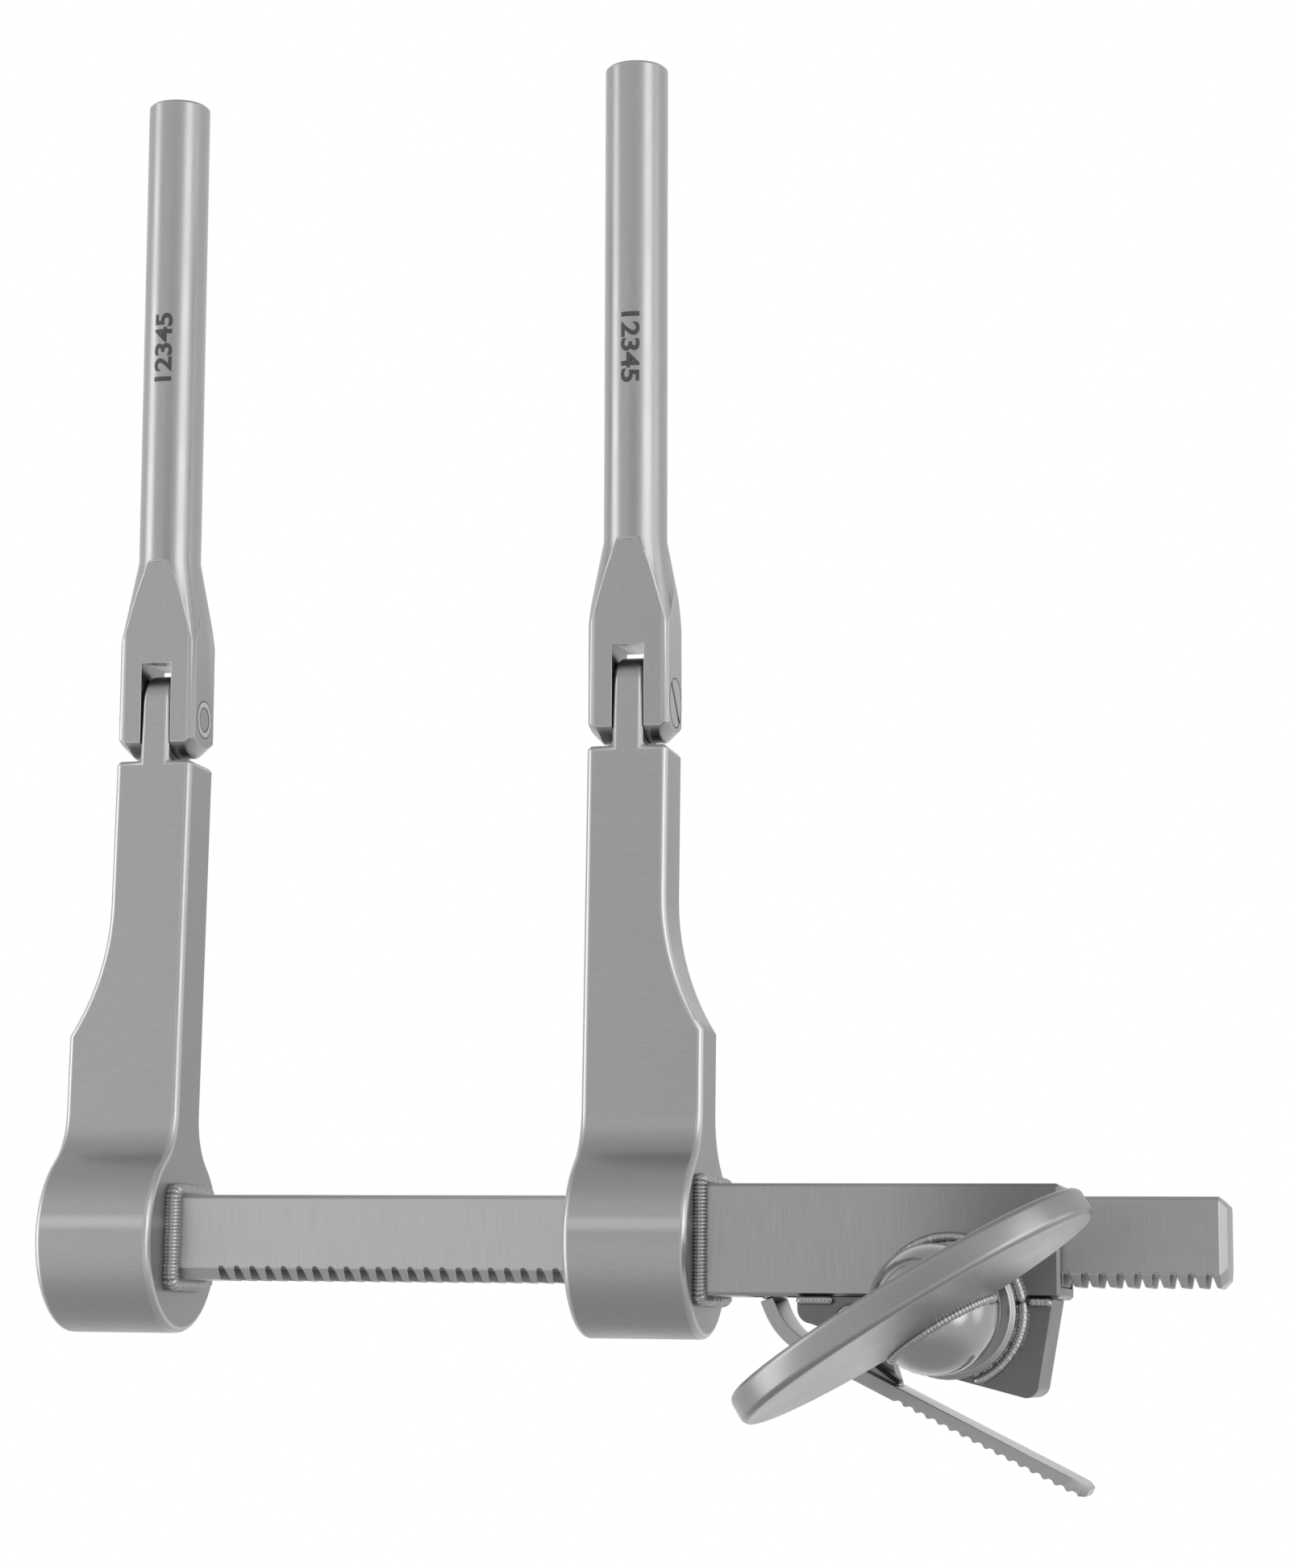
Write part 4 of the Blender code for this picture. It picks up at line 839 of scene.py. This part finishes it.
def numerals(name, hinge, centre, turn, radius, material, downwards):
    """Plain numerals wrapped round a post, read along it, as one thin mesh."""
    words = bpy.data.curves.new(name, "FONT")
    words.body = "12345"
    words.offset = 0.028
    words.align_x = "CENTER"
    words.align_y = "CENTER"
    holder = bpy.data.objects.new(name + "_text", words)
    bpy.context.scene.collection.objects.link(holder)
    mesh = plain_mesh(holder, name)
    shape = bmesh.new()
    shape.from_mesh(mesh)
    xs = [vert.co.x for vert in shape.verts]
    ys = [vert.co.y for vert in shape.verts]
    tall = sizes().numeral_height
    long = sizes().numeral_length
    for vert in shape.verts:
        vert.co.x = ((vert.co.x - min(xs)) / (max(xs) - min(xs)) - 0.5) * long
        vert.co.y = ((vert.co.y - min(ys)) / (max(ys) - min(ys)) - 0.5) * tall
    steps = 12
    for i in range(1, steps):
        cut = Vector((0.0, tall * (i / steps - 0.5), 0.0))
        geom = shape.verts[:] + shape.edges[:] + shape.faces[:]
        bmesh.ops.bisect_plane(shape, geom=geom, dist=1e-7, plane_co=cut, plane_no=(0, 1, 0))
    bmesh.ops.triangulate(shape, faces=shape.faces)
    way = -1.0 if downwards else 1.0
    lift = radius + 0.02 * MM
    for vert in shape.verts:
        along = centre + way * vert.co.x
        angle = turn - way * vert.co.y / radius
        vert.co = Vector((lift * math.sin(angle), -lift * math.cos(angle), along))
    lean = Matrix.Rotation(post_lean(hinge), 4, "X")
    bmesh.ops.transform(shape, matrix=Matrix.Translation(hinge) @ lean, verts=shape.verts)
    for face in shape.faces:
        face.smooth = True
        side = lean.inverted() @ (face.calc_center_median() - hinge)
        side.z = 0.0
        if (lean.inverted() @ face.normal).dot(side) < 0.0:
            face.normal_flip()
    shape.to_mesh(mesh)
    shape.free()
    mesh.materials.clear()
    mesh.materials.append(material)
    return mesh


def post_lean(hinge):
    """How far the post over a hinge leans forwards, read from its two ends."""
    node = "left_post" if hinge.x < RIGHT_HINGE.x / 2 else "right_post"
    low, high = node_box(node)
    points = [frame["nodes"][node].matrix_world @ v.co for v in frame["nodes"][node].data.vertices]
    top = [p for p in points if p.z > high.z - 1.0 * MM]
    middle = (min(p.y for p in top) + max(p.y for p in top)) / 2
    return math.atan2(hinge.y - middle, high.z - hinge.z)


def gap_mark(name, hinge, reach, inner, outer, material):
    """A thin dark ring of painted shade on a cheek of the clevis, where the gap round the end of
    the hinge screw lies.
    """
    shape = bmesh.new()
    steps = 48
    lean = Matrix.Rotation(post_lean(hinge), 4, "X")
    rows = []
    for radius in (inner, outer):
        row = []
        for i in range(steps):
            a = math.tau * i / steps
            point = Vector((reach, radius * math.cos(a), radius * math.sin(a)))
            row.append(shape.verts.new(hinge + lean @ point))
        rows.append(row)
    for i in range(steps):
        k = (i + 1) % steps
        corners = [rows[0][i], rows[1][i], rows[1][k], rows[0][k]]
        shape.faces.new(corners if reach > 0.0 else corners[::-1])
    mesh = bpy.data.meshes.new(name)
    shape.to_mesh(mesh)
    shape.free()
    mesh.materials.append(material)
    return mesh


class SPREADER_OT_numerals(bpy.types.Operator):
    """Etch plain numerals on the posts and paint shade into the gaps round the hinge screws"""

    bl_idname = "spreader.numerals"
    bl_label = "Numerals and screw gaps"

    def execute(self, context):
        finish = colours()
        # Dark steel for the etched numerals and for the painted shade in the screw gaps
        etched_and_gap_shade = steel("numerals_and_gap_shade", finish.etched_and_gap_shade, 0.5, EVEN, 0.05)
        staked = steel("staked_ring", finish.rubbed, 0.3, EVEN, 0.9, 2200.0, 0.25)
        size = sizes()
        cheek = size.clevis_half_width + 0.008 * MM
        shank, spread = size.shank_mark_radius, size.screw_tail_radius
        for name, hinge, centre, turn, downwards in (
            ("left_post", LEFT_HINGE, size.left_numeral_centre, size.left_numeral_turn, False),
            ("right_post", RIGHT_HINGE, size.right_numeral_centre, size.right_numeral_turn, True),
        ):
            label = name + "_numerals"
            mesh = numerals(label, hinge, centre, turn, size.post_radius, etched_and_gap_shade, downwards)
            add_piece(label, mesh, name, slot_name(name))
            outwards = -1.0 if name == "left_post" else 1.0
            # Rings of painted shade in the gaps round the screw's head and its tail
            for part, way, inner in (
                ("_head_gap", outwards, size.screw_head_radius),
                ("_tail_gap", -outwards, spread),
            ):
                outer = inner + size.screw_gap
                mesh = gap_mark(name + part, hinge, way * cheek, inner, outer, etched_and_gap_shade)
                add_piece(name + part, mesh, name, slot_name(name))
            # The staked ring is rubbed steel; the shank gap is a ring of painted shade
            reach = cheek + 0.006 * MM
            for part, inner, outer, material in (
                ("_staked_ring", shank, spread, staked),
                ("_shank_gap", shank - size.screw_gap, shank, etched_and_gap_shade),
            ):
                mesh = gap_mark(name + part, hinge, -outwards * reach, inner, outer, material)
                add_piece(name + part, mesh, name, slot_name(name))
        return {"FINISHED"}


class SPREADER_OT_rack(bpy.types.Operator):
    """Finish the toothed bar and the sleeve that runs on it"""

    bl_idname = "spreader.rack"
    bl_label = "Rack bar and sleeve"

    def execute(self, context):
        finish = colours()
        ground = steel("ground_bar", finish.ground, 0.32, ALONG_Z, 0.12, 9000.0, 0.07)
        # Painted shade of the key on the bar's end
        painted_key_shade(ground, *BAR_PAINTED_SHADE)
        bar = softened("rack_bar", ground, 0.06 * MM, 1, flat=True)
        # Darker steel for the notch faces: painted shade in the notches
        bar.data.materials.append(steel("notch_shade", finish.cut, 0.4, ALONG_Y))
        end = max(vert.co.x for vert in bar.data.vertices) - BAR_END_ZONE
        bar.data.materials.append(steel("rubbed_chamfer", finish.worn, 0.36, ALONG_X, 0.12))
        # Notch walls and floors take the painted shade; lower front and back chamfers the rubbed
        # steel
        for face in bar.data.polygons:
            low = face.center.z < NOTCH_REACH and abs(face.normal.y) < 0.2
            cut = abs(face.normal.x) > 0.1 or face.center.z > BAR_UNDERSIDE
            if low and cut and face.center.x < end:
                face.material_index = 1
            elif abs(face.normal.x) < 0.1 and face.normal.z < -0.4 and abs(face.normal.y) > 0.4:
                face.material_index = 2
        sleeve = steel("ground_sleeve", finish.satin, 0.32, ALONG_Z, 0.12, 9000.0, 0.07)
        # Painted shade of the key on the sleeve's end
        painted_key_shade(sleeve, *SLEEVE_PAINTED_SHADE)
        softened("sleeve", sleeve, sizes().edge_round)
        # Painted shade: the housing takes the darkened steel
        dull = steel("housing_painted_shade", finish.dull, 0.36, ALONG_X, 0.12, 9000.0, 0.07)
        softened("gear_housing", dull, sizes().edge_round)
        return {"FINISHED"}


def seam(face):
    """Where one face of the thumb plate meets the domed hub; face is -1 below, 1 above."""
    radius, widest = sizes().hub_radius, -sizes().hub_widest
    sin_tilt, cos_tilt = math.sin(sizes().plate_tilt), math.cos(sizes().plate_tilt)
    sin_turn, cos_turn = math.sin(sizes().plate_turn), math.cos(sizes().plate_turn)
    offset = face * (sizes().plate_thickness / 2 + 0.3 * sizes().plate_bead)
    half = []
    steps = 40
    for i in range(steps + 1):
        rise = math.radians(16.0 + 73.5 * i / steps)
        y = widest - radius * math.sin(rise)
        across = (offset - (y + sizes().plate_centre) * sin_tilt) / cos_tilt
        square = (radius * math.cos(rise)) ** 2 - across**2
        if square < 0.0:
            break
        half.append((math.sqrt(square), y, across))
    path = half + [(-u, y, w) for u, y, w in reversed(half)]
    return [
        (PINION.x + u * cos_turn - w * sin_turn, y, PINION.z + u * sin_turn + w * cos_turn)
        for u, y, w in path
    ]


class SPREADER_OT_key(bpy.types.Operator):
    """Finish the thumb key, its bearing boss and the gear behind it"""

    bl_idname = "spreader.key"
    bl_label = "Thumb key"

    def execute(self, context):
        finish = colours()
        mirror = steel("polished_hub", finish.polished, 0.14, EVEN, 0.04, tint=0.02, sheen=0.03)
        turned = steel("turned_boss", finish.polished, 0.2, EVEN, 0.05, tint=0.02, sheen=0.03)
        satin = steel("satin_key", finish.thumbed, finish.satin_roughness, ALONG_X)
        softened("key_hub", mirror, 0.05 * MM)
        softened("bearing_boss", turned, 0.05 * MM)
        softened("key_plate", satin, 0.1 * MM)
        for node in ("pinion", "key_cross_pin"):
            repaint(node, satin)
        paths = [seam(-1.0), seam(1.0)]
        mesh = laid_bead("key_seam", paths, sizes().plate_bead, weld_metal(), 41, 0.9)
        add_piece("key_seam", mesh, "key", "weld_steel")
        return {"FINISHED"}


class SPREADER_OT_lever(bpy.types.Operator):
    """Finish the release lever, its pivot and its spring"""

    bl_idname = "spreader.lever"
    bl_label = "Release lever"

    def execute(self, context):
        finish = colours()
        satin = steel("satin_lever", finish.satin, finish.satin_roughness, ALONG_X)
        black = steel("blackened_spring", finish.blackened, 0.35, ALONG_X, 0.1)
        for node in ("release_lever", "lever_ear", "pawl_nose", "lever_pin"):
            softened(node, satin, 0.08 * MM)
        softened("pawl_spring", black, 0.04 * MM)
        return {"FINISHED"}


def shrunk(path, centre, less):
    """An arc of points round the key's axis with a smaller radius."""
    points = []
    for x, y, z in path:
        reach = math.hypot(x - centre.x, z - centre.z)
        share = (reach - less) / reach
        points.append((centre.x + (x - centre.x) * share, y, centre.z + (z - centre.z) * share))
    return points


def replace_bead(node, paths, radius, material, seed, flatness=0.6, spacing=1.0):
    """A rippled bead in the place of the plain weld node."""
    mesh = laid_bead(node + "_ripples", paths, radius, material, seed, flatness, spacing)
    return add_piece(node + "_ripples", mesh, body_name(node), slot_name(node), node)


class SPREADER_OT_welds(bpy.types.Operator):
    """Lay the rippled weld beads"""

    bl_idname = "spreader.welds"
    bl_label = "Weld beads"

    def execute(self, context):
        metal = weld_metal()
        toe = steel("weld_toe", colours().rubbed, 0.45, EVEN, 0.1, tint=0.05)
        leg = sizes().weld_leg
        for seed, node in enumerate(("rack_weld", "sleeve_weld")):
            low, high = node_box(node)
            half_y = (high.y - low.y) / 2 - leg
            half_z = (high.z - low.z) / 2 - leg
            path = ring(low.x + 0.5 * leg, half_y, half_z)
            radius = (1.1 if node == "rack_weld" else 0.85) * leg
            replace_bead(node, [path], radius, metal, 11 + seed, 0.55, 0.95)
        for seed, (node, start, end) in enumerate(RING_BEADS):
            low, high = node_box(node)
            radius = (high.y - low.y) / 2
            reach = high.z - PINION.z if node == "bearing_weld" else high.x - PINION.x
            path = sweep(PINION, reach - radius, start, end, (low.y + high.y) / 2)
            replace_bead(node, [path], 1.05 * radius, metal, 21 + seed, 1.3)
            foot = shrunk(path, PINION, 0.55 * radius)
            foot = [(x, y + 1.15 * radius, z) for x, y, z in foot]
            mesh = laid_bead(node + "_toe", [foot], 1.75 * radius, toe, 25 + seed)
            add_piece(node + "_toe", mesh, "carriage", "weld_steel")
        for seed, node in enumerate(("housing_weld_left", "housing_weld_right")):
            low, high = node_box(node)
            radius = (high.z - low.z) / 2
            y, z = (low.y + high.y) / 2, (low.z + high.z) / 2
            path = [(low.x + 0.5 * radius, y, z), (high.x - 0.5 * radius, y, z)]
            replace_bead(node, [path], 1.1 * radius, metal, 31 + seed, 1.3)
        return {"FINISHED"}


# The point that lamps and cards face
STAGE_CENTRE = (0.06, 0.0, 0.04)

# Lamps: name, place, width in metres and power in watts
LAMPS = (
    ("key_light", (0.45, -0.35, 0.35), 0.3, 2.4),
    ("fill_light", (-0.45, -0.3, 0.2), 0.4, 1.2),
    ("top_light", (0.05, 0.15, 0.6), 0.4, 1.6),
)

# Cards that shape the reflections: name, size in metres, azimuth and elevation in degrees as
# seen from the spreader (0 is the front, positive to the right), distance, brightness in the
# middle and at the edge, and the share of the card that its even middle takes
CARDS = (
    ("front_flag", (0.66, 0.5), 5.0, 4.0, 0.62, 0.69, 1.02, 0.25),
    ("overhead_flag", (2.0, 2.0), 0.0, 90.0, 0.6, 0.66, 1.0, 0.25),
    ("low_flag", (1.3, 1.3), 0.0, -90.0, 0.45, 0.6, 0.95, 0.25),
    ("right_softbox", (0.52, 0.9), 56.0, 5.0, 0.6, 2.5, 1.0, 0.5),
    ("right_edge_softbox", (0.55, 0.9), 92.0, 5.0, 0.75, 1.8, 1.0, 0.25),
    ("left_softbox", (0.44, 1.0), -67.0, -5.0, 0.6, 2.7, 1.0, 0.5),
    ("rear_flag", (0.22, 0.3), 157.0, 1.0, 0.6, 0.45, 0.7, 0.25),
)


def emission_card(name, size, place, strength, edge, even):
    """A card that only reflections see: bright or dark in its middle, fading to its edge."""
    mesh = bpy.data.meshes.new(name)
    w, h = size[0] / 2, size[1] / 2
    mesh.from_pydata([(-w, -h, 0), (w, -h, 0), (w, h, 0), (-w, h, 0)], [], [(0, 1, 2, 3)])
    glow = bpy.data.materials.new(name)
    glow.use_nodes = True
    nodes, links = glow.node_tree.nodes, glow.node_tree.links
    nodes.clear()
    out = nodes.new("ShaderNodeOutputMaterial")
    light = nodes.new("ShaderNodeEmission")
    light.inputs["Color"].default_value = (1.0, 1.0, 1.0, 1.0)
    spot = nodes.new("ShaderNodeTexCoord")
    scaled = nodes.new("ShaderNodeMapping")
    scaled.inputs["Scale"].default_value = (2.0 / size[0], 2.0 / size[1], 1.0)
    links.new(spot.outputs["Object"], scaled.inputs["Vector"])
    away = nodes.new("ShaderNodeVectorMath")
    away.operation = "LENGTH"
    links.new(scaled.outputs["Vector"], away.inputs[0])
    fade = nodes.new("ShaderNodeMapRange")
    fade.interpolation_type = "SMOOTHSTEP"
    fade.inputs["From Min"].default_value = even
    fade.inputs["From Max"].default_value = 1.0
    fade.inputs["To Min"].default_value = strength
    fade.inputs["To Max"].default_value = edge
    links.new(away.outputs["Value"], fade.inputs["Value"])
    links.new(fade.outputs["Result"], light.inputs["Strength"])
    links.new(light.outputs["Emission"], out.inputs["Surface"])
    mesh.materials.append(glow)
    card = bpy.data.objects.new(name, mesh)
    card.location = place
    card.rotation_euler = (Vector(STAGE_CENTRE) - place).to_track_quat("Z", "Y").to_euler()
    bpy.context.scene.collection.objects.link(card)
    card.visible_camera = False
    card.visible_diffuse = False
    card.visible_shadow = False


def seen_directly(nodes, links):
    """A Light Path node, and one that gives 1 where the camera or a mirror looks."""
    path = nodes.new("ShaderNodeLightPath")
    seen = nodes.new("ShaderNodeMath")
    seen.operation = "MAXIMUM"
    links.new(path.outputs["Is Camera Ray"], seen.inputs[0])
    links.new(path.outputs["Is Glossy Ray"], seen.inputs[1])
    return path, seen


class SPREADER_OT_stage(bpy.types.Operator):
    """Set the floor, the light and the camera"""

    bl_idname = "spreader.stage"
    bl_label = "Stage"

    def execute(self, context):
        scene = context.scene
        scene.view_settings.view_transform = "Standard"
        world = bpy.data.worlds.new("pale_studio")
        scene.world = world
        world.use_nodes = True
        nodes, links = world.node_tree.nodes, world.node_tree.links
        sky = nodes["Background"]
        sky.inputs["Color"].default_value = (1.0, 1.0, 1.0, 1.0)
        _, seen = seen_directly(nodes, links)
        level = nodes.new("ShaderNodeMapRange")
        level.inputs["To Min"].default_value = 0.55
        level.inputs["To Max"].default_value = 1.0
        links.new(seen.outputs["Value"], level.inputs["Value"])
        links.new(level.outputs["Result"], sky.inputs["Strength"])

        mesh = bpy.data.meshes.new("floor")
        reach = 1.2
        mesh.from_pydata(
            [(-reach, -reach, 0), (reach, -reach, 0), (reach, reach, 0), (-reach, reach, 0)],
            [],
            [(0, 1, 2, 3)],
        )
        floor = bpy.data.objects.new("floor", mesh)
        floor.location = (0.05, 0.0, -sizes().floor_drop)
        scene.collection.objects.link(floor)
        pale = bpy.data.materials.new("pale_floor")
        pale.use_nodes = True
        nodes, links = pale.node_tree.nodes, pale.node_tree.links
        shader = nodes["Principled BSDF"]
        shader.inputs["Base Color"].default_value = (0.86, 0.86, 0.86, 1.0)
        shader.inputs["Roughness"].default_value = 0.9
        glow = nodes.new("ShaderNodeEmission")
        glow.inputs["Color"].default_value = (1.0, 1.0, 1.0, 1.0)
        path, seen = seen_directly(nodes, links)
        glow_level = nodes.new("ShaderNodeMapRange")
        glow_level.inputs["To Min"].default_value = 0.45
        glow_level.inputs["To Max"].default_value = 1.0
        links.new(path.outputs["Is Camera Ray"], glow_level.inputs["Value"])
        share = nodes.new("ShaderNodeMath")
        share.operation = "MULTIPLY"
        share.inputs[1].default_value = 0.8
        links.new(seen.outputs["Value"], share.inputs[0])
        links.new(glow_level.outputs["Result"], glow.inputs["Strength"])
        blend = nodes.new("ShaderNodeMixShader")
        links.new(share.outputs["Value"], blend.inputs["Fac"])
        links.new(shader.outputs["BSDF"], blend.inputs[1])
        links.new(glow.outputs["Emission"], blend.inputs[2])
        links.new(blend.outputs["Shader"], nodes["Material Output"].inputs["Surface"])
        mesh.materials.append(pale)
        floor.visible_glossy = False

        for name, place, size, power in LAMPS:
            lamp = bpy.data.lights.new(name, "AREA")
            lamp.shape = "SQUARE"
            lamp.size = size
            lamp.energy = power
            holder = bpy.data.objects.new(name, lamp)
            holder.location = place
            aim = Vector(STAGE_CENTRE) - Vector(place)
            holder.rotation_euler = aim.to_track_quat("-Z", "Y").to_euler()
            holder.visible_glossy = False
            scene.collection.objects.link(holder)

        for name, size, azimuth, elevation, distance, strength, edge, even in CARDS:
            turn, rise = math.radians(azimuth), math.radians(elevation)
            away = Vector(
                (math.sin(turn) * math.cos(rise), -math.cos(turn) * math.cos(rise), math.sin(rise))
            )
            place = Vector(STAGE_CENTRE) + distance * away
            emission_card(name, size, place, strength, edge, even)

        data = bpy.data.cameras.new("photo_camera")
        data.lens = CAMERA_LENS
        data.sensor_width = SENSOR_WIDTH
        data.clip_start = 0.005
        camera = bpy.data.objects.new("photo_camera", data)
        scene.collection.objects.link(camera)
        cy, sy = math.cos(CAMERA_YAW), math.sin(CAMERA_YAW)
        cp, sp = math.cos(CAMERA_PITCH), math.sin(CAMERA_PITCH)
        cr, sr = math.cos(CAMERA_ROLL), math.sin(CAMERA_ROLL)
        ahead = Vector((-sy * cp, cy * cp, sp))
        level_right = Vector((cy, sy, 0.0))
        level_up = level_right.cross(ahead)
        right = cr * level_right + sr * level_up
        up = -sr * level_right + cr * level_up
        turn = Matrix((right, up, -ahead)).transposed().to_4x4()
        camera.matrix_world = Matrix.Translation(CAMERA_PLACE) @ turn
        scene.camera = camera
        return {"FINISHED"}


class SPREADER_PT_panel(bpy.types.Panel):
    """Shows the spreader's sizes, colours and operators"""

    bl_idname = "SPREADER_PT_panel"
    bl_label = "Vertebral spreader"
    bl_space_type = "VIEW_3D"
    bl_region_type = "UI"
    bl_category = "Spreader"

    def draw(self, context):
        column = self.layout.column()
        for group in (context.scene.spreader_sizes, context.scene.spreader_finish):
            for name in group.bl_rna.properties.keys():
                if name not in ("rna_type", "name"):
                    column.prop(group, name)
        for operator in OPERATORS:
            column.operator(operator.bl_idname)


OPERATORS = (
    SPREADER_OT_arms,
    SPREADER_OT_posts,
    SPREADER_OT_numerals,
    SPREADER_OT_rack,
    SPREADER_OT_key,
    SPREADER_OT_lever,
    SPREADER_OT_welds,
    SPREADER_OT_stage,
)
CLASSES = (SpreaderSizes, SpreaderFinish) + OPERATORS + (SPREADER_PT_panel,)


def register():
    """Adds the classes and the two groups of values."""
    for made in CLASSES:
        bpy.utils.register_class(made)
    bpy.types.Scene.spreader_sizes = PointerProperty(type=SpreaderSizes)
    bpy.types.Scene.spreader_finish = PointerProperty(type=SpreaderFinish)


def unregister():
    """Takes away what register added."""
    del bpy.types.Scene.spreader_finish
    del bpy.types.Scene.spreader_sizes
    for made in reversed(CLASSES):
        bpy.utils.unregister_class(made)


def main():
    """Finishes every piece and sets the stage."""
    register()
    bpy.ops.spreader.arms()
    bpy.ops.spreader.posts()
    bpy.ops.spreader.numerals()
    bpy.ops.spreader.rack()
    bpy.ops.spreader.key()
    bpy.ops.spreader.lever()
    bpy.ops.spreader.welds()
    bpy.ops.spreader.stage()


if __name__ == "__main__":
    main()
